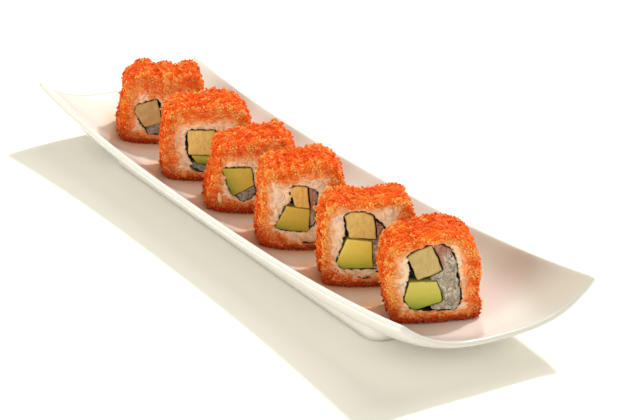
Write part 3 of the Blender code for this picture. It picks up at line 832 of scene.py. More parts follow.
# ---------------------------------------------------------------------------
# A slice
# ---------------------------------------------------------------------------
def template(kind):
    """A small closed ball of sixteen triangles, or a finer long grain."""
    if kind == "bead":
        rings = [(0.0, 1.0, 0.0)]
        for z, start in ((0.42, 0.0), (-0.42, 0.5)):
            for k in range(4):
                a = (k + start) * math.pi / 2
                r = math.sqrt(1 - z * z)
                rings.append((r * math.cos(a), r * math.sin(a), z))
        v = np.array([(0.0, 0.0, 1.0)] + rings[1:] + [(0.0, 0.0, -1.0)])
        f = []
        for k in range(4):
            a, b = 1 + k, 1 + (k + 1) % 4
            c, d = 5 + k, 5 + (k + 1) % 4
            f += [(0, a, b), (a, c, b), (c, d, b), (9, d, c)]
        return v * 1.06, np.array(f)
    bm = bmesh.new()
    bmesh.ops.create_uvsphere(bm, u_segments=7, v_segments=5, radius=1.0)
    bmesh.ops.triangulate(bm, faces=bm.faces)
    v = np.array([x.co for x in bm.verts])
    f = np.array([[x.index for x in t.verts] for t in bm.faces])
    bm.free()
    return v, f


def turns(rng, count):
    """Random rotations, one matrix each."""
    q = rng.normal(size=(count, 4))
    q /= np.linalg.norm(q, axis=1)[:, None]
    w, x, y, z = q.T
    return np.stack([
        np.stack([1 - 2 * (y * y + z * z), 2 * (x * y - z * w),
                  2 * (x * z + y * w)], -1),
        np.stack([2 * (x * y + z * w), 1 - 2 * (x * x + z * z),
                  2 * (y * z - x * w)], -1),
        np.stack([2 * (x * z - y * w), 2 * (y * z + x * w),
                  1 - 2 * (x * x + y * y)], -1)], 1)


BEAD = template("bead")
GRAIN = template("grain")


class Roll:
    def __init__(self, index, item):
        self.index, self.item = index, item
        self.x0, self.y0 = item["at"]
        self.turn = math.radians(item["turn"])
        self.height = max(z for y, z in item["shape"])
        self.base = float(floor_at(self.x0, self.y0))
        rng = random.Random(40 + index)
        self.phase = [rng.uniform(0, math.tau) for _ in range(8)]
        self.rng = np.random.default_rng(900 + index)
        # the outline, by its running length
        self.curve = closed_curve(item["shape"])
        step = np.linalg.norm(np.roll(self.curve, -1, 0) - self.curve, axis=1)
        self.run = np.concatenate([[0], np.cumsum(step)])
        self.length = self.run[-1]
        self.middle = np.array([0.0, self.height / 2])
        self.fillings = {}
        for kind in ("egg", "avocado", "crab"):
            if kind in item:
                self.fillings[kind] = rounded(item[kind][::-1], 1.8, 5)
        self.held = list(self.fillings.values())
        if "slack" in item:
            self.held.append(np.array(item["slack"]))
        self.crumple = Wobble(70 + index, 9.0)
        self.ripple = Wobble(170 + index, 3.4)
        self.clump = Wobble(270 + index, 5.2)
        self.knob = Wobble(370 + index, 2.4)
        self.read_sheet()

    def read_sheet(self):
        """The sheet's line round the fillings, as a radius for each angle.

        It hugs each filling and bridges the narrow gaps between them; near
        the cut faces it lies looser than deep inside."""
        polys = list(self.fillings.values())
        hull = wrap(self.held, 0.0, 240)
        self.mid = wrap(polys, 0.0, 240).mean(0)
        ang = np.linspace(-math.pi, math.pi, 720, endpoint=False)
        d = np.stack([np.cos(ang), np.sin(ang)], -1)

        def reach(poly):
            a = poly - self.mid
            e = np.roll(a, -1, 0) - a
            den = d[:, None, 0] * e[None, :, 1] - d[:, None, 1] * e[None, :, 0]
            den = np.where(np.abs(den) < 1e-9, 1e-9, den)
            t = (a[:, 0] * e[:, 1] - a[:, 1] * e[:, 0])[None] / den
            s = (a[None, :, 0] * d[:, None, 1]
                 - a[None, :, 1] * d[:, None, 0]) / den
            return np.where((s >= -1e-6) & (s <= 1 + 1e-6) & (t > 0),
                            t, 0).max(1)

        def window(r, half, pick):
            rolls = [np.roll(r, k) for k in range(-half, half + 1)]
            return pick(np.array(rolls), axis=0)

        own = np.maximum.reduce([reach(poly) for poly in polys])
        band = np.maximum(reach(hull), own)
        own = window(own, 5, np.max)
        closed = window(window(own, 26, np.max), 24, np.min)
        closed = window(closed, 5, np.mean)
        self.angles = ang
        self.tight = np.maximum(closed, own)
        loose = self.tight * 0.62 + band * 0.38
        self.loose = np.maximum(window(loose, 5, np.mean), own)

    def sheet_radius(self, angle, loose=1.0):
        """Radius of the sheet's inner side, smooth all the way round."""
        table = self.loose * loose + self.tight * (1 - loose)
        angle = (np.asarray(angle) + math.pi) % math.tau - math.pi
        return np.interp(angle, np.append(self.angles, math.pi),
                         np.append(table, table[0]))

    def polar(self, angle, radius):
        return self.mid + np.stack([np.cos(angle) * radius,
                                    np.sin(angle) * radius], -1)

    def outline_run(self, s, blur=0.9):
        """Point, outward normal and direction at a running length."""
        loop = np.vstack([self.curve, self.curve[:1]])

        def at(t):
            t = np.asarray(t) % self.length
            return np.stack([np.interp(t, self.run, loop[:, 0]),
                             np.interp(t, self.run, loop[:, 1])], -1)

        p = at(s)
        r = at(np.asarray(s) + blur) - at(np.asarray(s) - blur)
        n = np.stack([r[..., 1], -r[..., 0]], -1)
        n /= np.maximum(np.linalg.norm(n, axis=-1), 1e-9)[..., None]
        a = np.arctan2(p[..., 1] - self.middle[1], p[..., 0])
        return p, n, a

    def lump(self, angle, x):
        p = self.phase
        k = x / SLICE
        wave = (0.45 * np.sin(3 * angle + p[0] + 3 * k)
                + 0.35 * np.sin(5 * angle + p[1] - 5 * k)
                + 0.30 * np.sin(8 * angle + p[2] + 4 * k)
                + 0.25 * np.sin(7 * k + p[3] + 2 * angle))
        return ROE_LUMP * wave

    def place(self, local):
        """Slice frame (x out of the cut, y across, z up) to the world, mm."""
        local = np.asarray(local, float)
        c, s = math.cos(self.turn), math.sin(self.turn)
        wx = self.x0 + c * local[..., 0] - s * local[..., 1]
        wy = self.y0 + s * local[..., 0] + c * local[..., 1]
        z = local[..., 2] * (1 - self.item["lean"]
                             * (1 - local[..., 0] / (SLICE / 2)))
        lift = floor_at(wx, wy) + REST_GAP * 0.4 - self.base
        z = z + lift * (1 - z / self.height)
        return np.stack([wx, wy, z + self.base], -1)

    def finish(self, name, verts, faces, mat, nodes, attributes=()):
        """verts in the slice frame, mm: makes the piece in the world."""
        world = self.place(verts)
        world[:, 2] = np.minimum(world[:, 2], TOP - 0.02)
        mesh = mesh_from(name, world * MM, faces)
        for key, values in attributes:
            if np.ndim(values) == 2:
                set_vector(mesh, key, values)
            else:
                set_float(mesh, key, values)
        obj = new_object(name, mesh, mat)
        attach(obj, "root")
        if nodes:
            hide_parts(*nodes)
        return obj

    def thin(self, q, gap):
        """Indices of points that are at least gap apart, first come first."""
        cells = {}
        kept = []
        for i, (a, b) in enumerate(q):
            ca, cb = int(a // gap), int(b // gap)
            free = True
            for da in (-1, 0, 1):
                for db in (-1, 0, 1):
                    for j in cells.get((ca + da, cb + db), ()):
                        if (q[j][0] - a) ** 2 + (q[j][1] - b) ** 2 < gap * gap:
                            free = False
                            break
                    if not free:
                        break
                if not free:
                    break
            if free:
                cells.setdefault((ca, cb), []).append(i)
                kept.append(i)
        return np.array(kept, int)

    def depth_in(self, q):
        """How far inside the outline each point lies, and which way is out."""
        ss = np.linspace(0, self.length, 260, endpoint=False)
        p, n, a = self.outline_run(ss)
        d = np.linalg.norm(q[:, None, :] - p[None], axis=2)
        k = d.argmin(1)
        inside = ((q - p[k]) * n[k]).sum(1) < 0
        return np.where(inside, d.min(1), -d.min(1)), n[k]

    def beyond_sheet(self, q):
        """Distance outside the sheet's line, and which way that is."""
        d = q - self.mid
        radius = np.linalg.norm(d, axis=1)
        over = radius - self.sheet_radius(np.arctan2(d[:, 1], d[:, 0]))
        return over, d / np.maximum(radius, 1e-9)[:, None]

    def spill(self, s, front=True):
        """How far the roe laps over the cut face at this place."""
        p, n, a = self.outline_run(s, 4.0)
        top, left, right, bottom, corner = SPILL[self.index - 1]
        up = np.clip(n[..., 1], 0, 1) ** 1.5
        down = np.clip(-n[..., 1], 0, 1) ** 1.5
        side = np.clip(np.abs(n[..., 0]), 0, 1) ** 1.5
        lateral = np.where(n[..., 0] > 0, right, left)
        width = (up * top + down * bottom + side * lateral) / (up + down + side)
        width = width + corner * smoothstep(17, 7, p[..., 1]) \
            * smoothstep(-6, -16, p[..., 0])
        seed = 0.0 if front else 40.0
        w = self.crumple(p[..., 0] + seed, p[..., 1], 0 * s)
        w2 = self.ripple(p[..., 0] + seed, p[..., 1], 0 * s)
        return np.maximum(0.4, width * (1 + 0.12 * w) + 0.5 * w2)

    def edge_round(self, x, radius=2.2):
        over = np.clip(np.abs(x) - (SLICE / 2 - radius), 0, radius * 0.96)
        return radius - np.sqrt(radius ** 2 - over ** 2)

    # ------------------------------------------------------------- roe coat
    def bare(self, y, z, x):
        """Where this slice's coat is thin and the rice lightens it."""
        left, right, top = THIN[self.index]
        amount = (left * smoothstep(-12, -21, y)
                  + right * smoothstep(12, 20, y)
                  + top * smoothstep(self.height - 9, self.height - 2, z))
        amount = amount * smoothstep(5, 11, z) \
            * smoothstep(4.0, 13.0, np.abs(x))
        return amount * np.clip(0.75 + 1.2 * self.ripple(y * 0.8, z * 0.8,
                                                         x * 0.6), 0, 1.6)

    def relief(self, p, X, a):
        """How far the coat's own surface stands off the plain outline."""
        knob = self.knob(p[..., 0], p[..., 1], X)
        return (self.lump(a, X) + 0.46 * self.clump(p[..., 0], p[..., 1], X)
                + 0.36 * self.ripple(p[..., 0], p[..., 1], X)
                + 0.34 * np.maximum(knob, -0.4))

    def roe(self, grain_mat, bed_mat):
        rng = self.rng
        size = GRAIN_SIZE
        half = SLICE / 2
        spots, pale = [], []

        def coat(step, lift, keep, fuzz):
            count_x = int(SLICE / (step * 0.87))
            columns = int(self.length / step)
            xs = np.linspace(-half + 0.3, half - 0.3, count_x)
            ss = np.arange(columns) * (self.length / columns)
            X, S = np.meshgrid(xs, ss, indexing="ij")
            S = S + (np.arange(count_x) % 2)[:, None] * step / 2
            X = X + rng.normal(0, 0.15 * size, X.shape)
            S = S + rng.normal(0, 0.17 * size, S.shape)
            X, S = X.ravel(), S.ravel()
            X = np.clip(X, -half + 0.1, half - 0.1)
            p, n, a = self.outline_run(S)
            wave = self.clump(p[:, 0] + 11, p[:, 1], X * 1.3)
            chosen = rng.random(len(X)) < np.clip(keep + 0.30 * wave
                                                  * (keep < 0.9), 0, 1)
            X, S, p, n, a = X[chosen], S[chosen], p[chosen], n[chosen], a[chosen]
            rise = (self.relief(p, X, a) - self.edge_round(X) + lift
                    + rng.normal(0, fuzz, len(X)))
            q = p + n * rise[:, None]
            spots.append(np.stack([X, q[:, 0], q[:, 1]], -1))
            blot = self.clump(p[:, 0] * 0.9 - 7, p[:, 1] * 0.9, X * 0.9)
            bare = 0.75 * smoothstep(6.0, 0.5, half - np.abs(X)) \
                * np.clip(0.10 + 1.1 * blot, 0, 1)
            bare = bare + self.bare(p[:, 0], p[:, 1], X)
            pale.append(np.clip(bare + 0.60 * (blot - 0.55), 0, 1))

        coat(size * 0.99, -0.66, 0.98, 0.09)
        coat(size * 1.08, -0.30, 0.20, 0.12)

        # grains that lap over each cut face
        for sign in (1, -1):
            tries = 5200
            S = rng.uniform(0, self.length, tries)
            reach = self.spill(S, sign > 0)
            depth = rng.random(tries) * 13.0
            p, n, a = self.outline_run(S, 2.0)
            q = p - n * depth[:, None]
            chance = np.clip((reach - depth) / 0.9 + 0.55, 0, 1)
            chance = np.maximum(chance, 0.05 * (depth < reach + 2.0))
            over, way = self.beyond_sheet(q)
            inside, out = self.depth_in(q)
            keep = (rng.random(tries) < chance) & (over > 1.5) & (inside > 0.2)
            q, depth, reach = q[keep], depth[keep], reach[keep]
            taken = self.thin(q, size * 0.86)
            q, depth, reach = q[taken], depth[taken], reach[taken]
            swell = 0.28 + 0.22 * self.clump(q[:, 0], q[:, 1],
                                             np.full(len(q), 25.0 * sign))
            rim = 0.9 * smoothstep(1.6, 0.0, depth)
            x = sign * (half + swell - rim + rng.normal(0, 0.13, len(q)))
            spots.append(np.stack([x, q[:, 0], q[:, 1]], -1))
            patch = self.clump(q[:, 0] * 0.8 + 5, q[:, 1] * 0.8,
                               np.full(len(q), 12.0 * sign))
            faint = np.clip(0.60 * smoothstep(reach - 3.0, reach + 0.3, depth)
                            + 0.65 * patch - 0.02
                            + self.bare(q[:, 0], q[:, 1],
                                        np.full(len(q), half * sign)), 0, 1)
            pale.append(faint)
            more = rng.random(len(q)) < 0.16 * (depth < reach * 0.8)
            x = sign * (half + swell[more] + 0.42 - rim[more])
            spots.append(np.stack([x, q[more, 0] + 0.4, q[more, 1]], -1))
            pale.append(faint[more] * 0.7)
        spots, pale = np.concatenate(spots), np.concatenate(pale)
        # nothing is laid under the slice, where it rests
        under = (spots[:, 2] < 1.3) & (np.abs(spots[:, 1]) < 17.0) \
            & (np.abs(spots[:, 0]) < half - 1.5)
        spots, pale = spots[~under], pale[~under]
        count = len(spots)
        world = self.place(spots)
        r = size / 2 * rng.uniform(0.82, 1.16, count)
        floor = floor_at(world[:, 0], world[:, 1])
        world[:, 2] = np.maximum(world[:, 2], floor + r * 1.02)
        world[:, 2] = np.minimum(world[:, 2], TOP - r * 1.1)
        v, f = BEAD
        rot = turns(rng, count)
        shape = rng.uniform(0.92, 1.10, (count, 1, 3)) * r[:, None, None]
        verts = np.einsum("nij,nkj->nki", rot, v[None] * shape)
        verts = (verts + world[:, None, :]).reshape(-1, 3)
        faces = (f[None] + (np.arange(count) * len(v))[:, None, None])
        name = "roe_grains_%d" % self.index
        mesh = mesh_from(name, verts * MM, faces.reshape(-1, 3))
        set_float(mesh, "tone", np.repeat(rng.random(count), len(v)))
        # painted shade: grains near the bottom are marked for the roe's darker contact
        # shade
        low = np.clip(1 - spots[:, 2] / 11.0, 0, 1) ** 0.9
        set_float(mesh, "low", np.repeat(low, len(v)))
        set_float(mesh, "pale", np.repeat(pale, len(v)))
        obj = new_object(name, mesh, grain_mat)
        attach(obj, "root")
        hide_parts("roe_%d" % self.index)
        self.grain_count = count

        # the bed that the grains lie in: a closed tube a little smaller
        sides, along = 170, 22
        ss = np.linspace(0, self.length, sides, endpoint=False)
        xs = np.linspace(-half + 0.35, half - 0.35, along)
        X, S = np.meshgrid(xs, ss, indexing="ij")
        p, n, a = self.outline_run(S)
        rise = self.relief(p, X, a) - self.edge_round(X) - 0.66
        q = p + n * rise[..., None]
        outer = np.stack([X, q[..., 0], q[..., 1]], -1)
        p, n, a = self.outline_run(S, 5.0)
        q = p - n * (ROE_COAT + 0.7)
        inner = np.stack([X, q[..., 0], q[..., 1]], -1)
        rows = np.concatenate([outer, inner[[-1, along // 2, 0]]])
        rows[..., 2] = np.maximum(rows[..., 2], 0.05)
        k = len(rows)
        idx = np.arange(k * sides).reshape(k, sides)
        nxt = np.roll(idx, -1, 0)
        faces = np.stack([idx, np.roll(idx, -1, 1), np.roll(nxt, -1, 1), nxt],
                         -1).reshape(-1, 4)
        # painted shade: the bed near the bottom is marked for the same darker contact
        # shade
        low = np.clip(1 - rows[..., 2].ravel() / 11.0, 0, 1) ** 0.9
        thin_coat = 0.4 * smoothstep(5.5, 0.5,
                                     half - np.abs(rows[..., 0].ravel()))
        thin_coat = thin_coat + 0.7 * self.bare(rows[..., 1].ravel(),
                                                rows[..., 2].ravel(),
                                                rows[..., 0].ravel())
        bed = self.finish("roe_bed_%d" % self.index, rows.reshape(-1, 3),
                          faces, bed_mat, (),
                          [("low", low), ("pale", thin_coat)])
        tidy(bed)
        return obj

    # ----------------------------------------------------------------- rice
    def pack_rice(self, sign, tries, room, held):
        """Grains laid flat on a cut face, each beside the ones before it."""
        rng = self.rng
        q = np.stack([rng.uniform(-25, 25, tries),
                      rng.uniform(0.8, self.height, tries)], -1)
        depth, out = self.depth_in(q)
        over, way = self.beyond_sheet(q)
        ok = (depth > 2.8) & (over > 1.25)
        q, depth, out, over, way = q[ok], depth[ok], out[ok], over[ok], way[ok]
        m = len(q)
        long_ = rng.uniform(2.2, 3.0, m)
        wide = rng.uniform(1.12, 1.38, m)
        ang = rng.uniform(0, math.pi, m)
        for attempt in range(3):
            ax = np.stack([np.cos(ang), np.sin(ang)], -1)
            c = np.abs((ax * way).sum(1))
            ext = np.sqrt((long_ * c) ** 2 + (wide ** 2) * (1 - c * c))
            c2 = np.abs((ax * out).sum(1))
            ext2 = np.sqrt((long_ * c2) ** 2 + (wide ** 2) * (1 - c2 * c2))
            bad = (over - ext < 0.35) | (depth - ext2 < 0.5)
            along = np.arctan2(way[:, 0], -way[:, 1])
            ang = np.where(bad, along + rng.normal(0, 0.25, m), ang)
        good = (over - ext >= 0.12) & (depth - ext2 > 0.0)
        q, depth, ang = q[good], depth[good], ang[good]
        long_, wide = long_[good], wide[good]
        ax = np.stack([np.cos(ang), np.sin(ang)], -1)
        chosen = []
        circles = [held[0]] if len(held[0]) else []
        radii = [held[1]] if len(held[0]) else []
        for i in range(len(q)):
            c = q[i] + ax[i] * (long_[i] * 0.62) * np.array([[-1], [0], [1]])
            r = wide[i] * np.array([0.8, 1.0, 0.8])
            if circles:
                near = np.concatenate(circles)
                size = np.concatenate(radii)
                gap = np.linalg.norm(c[:, None] - near[None], axis=2)
                if (gap < room * (r[:, None] + size[None])).any():
                    continue
            circles.append(c)
            radii.append(r)
            chosen.append(i)
        chosen = np.array(chosen, int)
        both = (np.concatenate(circles), np.concatenate(radii))
        return (q[chosen], depth[chosen], ang[chosen], long_[chosen],
                wide[chosen], both)

    def face_relief(self, y, z, sign):
        """How far the rice swells out of the flat of a cut face."""
        return (0.30 * self.clump(y, z, np.full(np.shape(y), 60.0 * sign))
                + 0.16 * self.ripple(y * 1.3, z * 1.3,
                                     np.full(np.shape(y), 9.0 * sign)))

    def rice(self, mat):
        rng = self.rng
        half = SLICE / 2
        face = half - 0.55
        spots, axes, stains, sizes = [], [], [], []
        for sign in (1, -1):
            for layer, (room, sink) in enumerate(((0.95, -0.30),
                                                  (0.80, -0.52))):
                q, depth, ang, long_, wide, both = self.pack_rice(
                    sign, 2600, room, (np.zeros((0, 2)), np.zeros(0)))
                m = len(q)
                swell = self.face_relief(q[:, 0], q[:, 1], sign)
                x = sign * (face + sink + swell + rng.normal(0, 0.08, m))
                spots.append(np.stack([x, q[:, 0], q[:, 1]], -1))
                tilt = rng.normal(0, 0.09, m)
                axes.append(np.stack([np.sin(tilt), np.cos(ang) * np.cos(tilt),
                                      np.sin(ang) * np.cos(tilt)], -1))
                sizes.append(np.stack([long_, wide], -1))
                reach = self.spill_near(q, sign > 0)
                stain = 0.95 * smoothstep(6.6, -1.0, depth - reach) \
                    + 0.15 * np.clip(1 - q[:, 1] / 8.0, 0, 1) \
                    + rng.normal(0, 0.06, m)
                stain = stain + RICE_WARM[self.index]
                stains.append(np.clip(stain, 0, 1))
        spots, axes = np.concatenate(spots), np.concatenate(axes)
        stain, size = np.concatenate(stains), np.concatenate(sizes)
        if self.index == 3:
            # the one long grain that stands at the lower left
            spots = np.vstack([spots, [[half + 0.35, -16.6, 8.6]]])
            axes = np.vstack([axes, [[0.03, -0.05, 0.998]]])
            stain = np.append(stain, 0.45)
            size = np.vstack([size, [[3.5, 1.35]]])
        count = len(spots)
        thick = rng.uniform(0.80, 0.95, count)
        outx = np.tile([1.0, 0, 0], (count, 1))
        b = np.cross(outx, axes)
        b /= np.linalg.norm(b, axis=1)[:, None]
        c = np.cross(axes, b)
        v, f = GRAIN
        # a rice grain: blunter at one end, and slightly bent
        t = v[:, 2]
        body = v.copy()
        body[:, 0] *= 1 - 0.14 * t
        body[:, 1] *= 1 - 0.14 * t
        body[:, 0] += 0.16 * (t * t - 0.4)
        long_, wide = size[:, 0], size[:, 1]
        verts = (axes[:, None, :] * (body[None, :, 2:3] * long_[:, None, None])
                 + b[:, None, :] * (body[None, :, 0:1] * wide[:, None, None])
                 + c[:, None, :] * (body[None, :, 1:2] * thick[:, None, None]))
        local = (verts + spots[:, None, :]).reshape(-1, 3)
        local[:, 2] = np.maximum(local[:, 2], 0.25)
        faces = (f[None] + (np.arange(count) * len(v))[:, None, None])
        attributes = [("stain", np.repeat(stain, len(v))),
                      ("tone", np.repeat(rng.random(count), len(v)))]
        self.finish("rice_grains_%d" % self.index, local,
                    faces.reshape(-1, 3), mat, ("rice_%d" % self.index,),
                    attributes)
        self.rice_count = count
        # the mass that the grains are pressed into
        sides = 180
        ss = np.linspace(0, self.length, sides, endpoint=False)
        p, n, a = self.outline_run(ss, 5.0)
        outer = p - n * (ROE_COAT + 0.2)
        ang_o = np.arctan2(outer[:, 1] - self.mid[1],
                           outer[:, 0] - self.mid[0])
        plain = self.polar(ang_o, self.sheet_radius(ang_o) + 0.75)
        jag = np.clip(0.32 + 0.34 * self.ripple(plain[:, 0] * 1.5,
                                                plain[:, 1] * 1.5, 0 * ang_o)
                      + 0.22 * self.knob(plain[:, 0], plain[:, 1],
                                         0 * ang_o), 0.04, 1.3)
        lip = self.polar(ang_o, self.sheet_radius(ang_o) + jag)
        steps = 12
        rows, stainv = [], []
        xs = np.linspace(-face, face, 3)
        for x in xs[:-1]:
            rows.append(np.column_stack([np.full(sides, x), outer]))
            stainv.append(np.full(sides, 0.9))
        for side in (1, -1):
            hole = lip if side > 0 else plain
            for i in range(steps + 1):
                f_ = i / steps if side > 0 else 1 - i / steps
                ring = outer * (1 - f_) + hole * f_
                dome = self.face_relief(ring[:, 0], ring[:, 1], side)
                edge = math.sin(math.pi * min(max(f_, 0.04), 0.96)) ** 0.5
                rows.append(np.column_stack([side * (face + dome * edge
                                                     - 0.18 * (f_ > 0.97)),
                                             ring]))
                reach = self.spill(ss, side > 0)
                depth = np.linalg.norm(ring - p, axis=1)
                stainv.append(np.clip(
                    0.95 * smoothstep(6.6, -1.0, depth - reach)
                    + 0.15 * np.clip(1 - ring[:, 1] / 8.0, 0, 1)
                    + RICE_WARM[self.index], 0, 1))
            if side > 0:
                deep = self.sheet_radius(ang_o, 0.0) + 0.85
                for x in (14.0, 12.0, 5.0, -5.0, -12.0, -14.0):
                    f_ = float(smoothstep(10.0, 14.0, abs(x)))
                    r = (self.sheet_radius(ang_o) + 0.75) * f_ \
                        + deep * (1 - f_)
                    rows.append(np.column_stack([np.full(sides, x),
                                                 self.polar(ang_o, r)]))
                    stainv.append(np.full(sides, 0.2))
        rows = np.array(rows)
        rows[..., 2] = np.maximum(rows[..., 2], 0.3)
        k = len(rows)
        idx = np.arange(k * sides).reshape(k, sides)
        nxt = np.roll(idx, -1, 0)
        faces = np.stack([idx, np.roll(idx, -1, 1), np.roll(nxt, -1, 1), nxt],
                         -1).reshape(-1, 4)
        core = self.finish("rice_mass_%d" % self.index, rows.reshape(-1, 3),
                           faces, mat, (),
                           [("stain", np.concatenate(stainv)),
                            ("tone", np.full(k * sides, 0.6))])
        tidy(core)

    def spill_near(self, q, front):
        """The roe's lap at the outline point nearest to each point."""
        ss = np.linspace(0, self.length, 260, endpoint=False)
        p, n, a = self.outline_run(ss)
        d = np.linalg.norm(q[:, None, :] - p[None], axis=2)
        return self.spill(ss, front)[d.argmin(1)]

    # ----------------------------------------------------------------- nori
    def nori(self, mat):
        """The sheet: it lies looser round the fillings near the cut faces."""
        sides = 190
        ang = np.linspace(-math.pi, math.pi, sides, endpoint=False)
        stations = [-1, -0.95, -0.85, -0.70, -0.4, 0,
                    0.4, 0.70, 0.85, 0.95, 1]
        end = SLICE / 2 - 0.80
        walls = {0: [], 1: []}
        for x in stations:
            f = float(smoothstep(0.60, 0.95, abs(x)))
            radius = self.sheet_radius(ang, f)
            ring = self.polar(ang, radius)
            xx = np.full(sides, 17.0 * x)
            w2 = self.crumple(ring[:, 0] * 1.5, ring[:, 1] * 1.5, xx)
            thick = np.clip(0.28 + 0.14 * w2
                            + 0.10 * self.knob(ring[:, 0], ring[:, 1], xx),
                            0.12, 0.60)
            radius = radius + 0.05
            jag = 0.0
            if abs(x) == 1:
                jag = 0.16 * self.knob(ring[:, 0], ring[:, 1], xx)
            col = np.full(sides, x * end) + jag
            walls[0].append(np.column_stack([col, self.polar(ang, radius
                                                             + thick)]))
            walls[1].append(np.column_stack([col, self.polar(ang, radius)]))
        rows = np.array(walls[0] + walls[1][::-1])
        k = len(rows)
        idx = np.arange(k * sides).reshape(k, sides)
        nxt = np.roll(idx, -1, 0)
        faces = np.stack([idx, np.roll(idx, -1, 1), np.roll(nxt, -1, 1), nxt],
                         -1).reshape(-1, 4)
        obj = self.finish("nori_%d_sheet" % self.index, rows.reshape(-1, 3),
                          faces, mat, ("nori_%d" % self.index,))
        tidy(obj)
        # folds of the sheet that close the gaps between the fillings
        sides = 90
        ang = np.linspace(-math.pi, math.pi, sides, endpoint=False)
        ring = self.polar(ang, self.sheet_radius(ang, 0.0) - 0.06)
        xs = (-9.5, -3.0, 3.0, 9.5)
        rows = np.array([np.column_stack([np.full(sides, x), ring])
                         for x in xs])
        idx = np.arange(len(xs) * sides).reshape(len(xs), sides)
        side_f = np.stack([idx[:-1], np.roll(idx, -1, 1)[:-1],
                           np.roll(idx, -1, 1)[1:], idx[1:]],
                          -1).reshape(-1, 4)
        verts = np.vstack([rows.reshape(-1, 3),
                           [[xs[0], *self.mid], [xs[-1], *self.mid]]])
        n0 = len(xs) * sides
        fan0 = np.column_stack([np.full(sides, n0), np.roll(idx[0], -1),
                                idx[0]])
        fan1 = np.column_stack([np.full(sides, n0 + 1), idx[-1],
                                np.roll(idx[-1], -1)])
        self.tail(mat)
        return self.local_object("nori_%d_folds" % self.index, verts,
                                 [side_f, np.concatenate([fan0, fan1])])

    def tail(self, mat):
        """The sheet's loose end, where it shows in the rice of a cut face."""
        for k, line in enumerate(TAILS.get(self.index, ())):
            pts = resample_open(np.array(line, float), 24)
            t = np.gradient(pts, axis=0)
            t /= np.linalg.norm(t, axis=1)[:, None]
            n = np.stack([-t[:, 1], t[:, 0]], -1)
            m = len(pts)
            taper = np.sin(np.linspace(0.12, math.pi - 0.12, m)) ** 0.5
            wob = self.knob(pts[:, 0], pts[:, 1], np.zeros(m))
            wide = (0.30 + 0.12 * wob) * taper
            pts = pts + n * (0.22 * wob)[:, None]
            rows = []
            for x, side in ((15.1, 1), (11.5, 1), (11.5, -1), (15.1, -1)):
                rows.append(np.column_stack([np.full(m, x)
                                             + 0.12 * wob * (x > 15),
                                             pts + n * (side * wide)[:, None]]))
            rows = np.array(rows)
            idx = np.arange(4 * m).reshape(4, m)
            nxt = np.roll(idx, -1, 0)
            faces = np.stack([idx[:, :-1], idx[:, 1:], nxt[:, 1:],
                              nxt[:, :-1]], -1).reshape(-1, 4)
            ends = np.array([idx[:, 0], idx[::-1, -1]])
            obj = self.finish("nori_%d_tail_%d" % (self.index, k),
                              rows.reshape(-1, 3), [faces, ends], mat, ())
            tidy(obj)

    # ------------------------------------------------------------- fillings
    def bar(self, outline, reach, relief, rough_sides=0.10, rings=9, seed=0):
        """A bar through the slice, closed by two gently uneven cut faces."""
        sides = len(outline)
        n = outward(outline)
        if signed_area(outline) < 0:
            n = -n
        wob = Wobble(seed + 10 * self.index, 5.0)
        mid = outline.mean(0)
        rows = []
        for x in np.linspace(-1, 1, 9):
            r = outline + n * (rough_sides
                               * wob(outline[:, 0], outline[:, 1],
                                     np.full(sides, 15 * x)))[:, None]
            inset = 0.40 if abs(x) == 1 else 0.0
            if abs(x) == 1:
                rows_end = []
                for f in (0.0, 0.4, 0.75, 1.0):
                    ang = f * math.pi / 2
                    rr = r - n * (inset * (1 - math.cos(ang)))
                    rows_end.append(np.column_stack(
                        [np.full(sides, x * (reach - inset
                                             + inset * math.sin(ang))), rr]))
                rows += rows_end if x > 0 else rows_end[::-1]
            else:
                rows.append(np.column_stack([np.full(sides, x * reach), r]))

        def cap(edge, sign):
            out = []
            for k in range(1, rings):
                f = k / rings
                ring = edge[:, 1:] * (1 - f) + mid * f
                d = relief * wob(ring[:, 0] * 1.7, ring[:, 1] * 1.7,
                                 np.full(sides, 40.0 * sign))
                d = d * smoothstep(0, 0.25, f)
                out.append(np.column_stack([edge[:, 0] + sign * d, ring]))
            return out

        rows = cap(rows[0], -1)[::-1] + rows + cap(rows[-1], 1)
        rows = np.array(rows)
        k = len(rows)
        verts = rows.reshape(-1, 3)
        idx = np.arange(k * sides).reshape(k, sides)
        faces = np.stack([idx[:-1], np.roll(idx, -1, 1)[:-1],
                          np.roll(idx, -1, 1)[1:], idx[1:]], -1).reshape(-1, 4)
        lo = np.append([rows[0][:, 0].mean()], mid)
        hi = np.append([rows[-1][:, 0].mean()], mid)
        verts = np.vstack([verts, lo, hi])
        i0, i1 = k * sides, k * sides + 1
        fan0 = np.column_stack([np.full(sides, i0), np.roll(idx[0], -1),
                                idx[0]])
        fan1 = np.column_stack([np.full(sides, i1), idx[-1],
                                np.roll(idx[-1], -1)])
        return verts, [faces, np.concatenate([fan0, fan1])]

    def local_object(self, name, verts, faces):
        mesh = mesh_from(name, verts, faces)
        obj = new_object(name, mesh)
        tidy(obj)
        return obj

    def carve(self, obj, cutter):
        before = len(obj.data.polygons)
        keep = obj.data.copy()
        cut = obj.modifiers.new("cut", 'BOOLEAN')
        cut.operation = 'DIFFERENCE'
        cut.solver = 'MANIFOLD'
        cut.object = cutter
        bake_modifiers(obj)
        if len(obj.data.polygons) < 0.2 * before:
            obj.data = keep

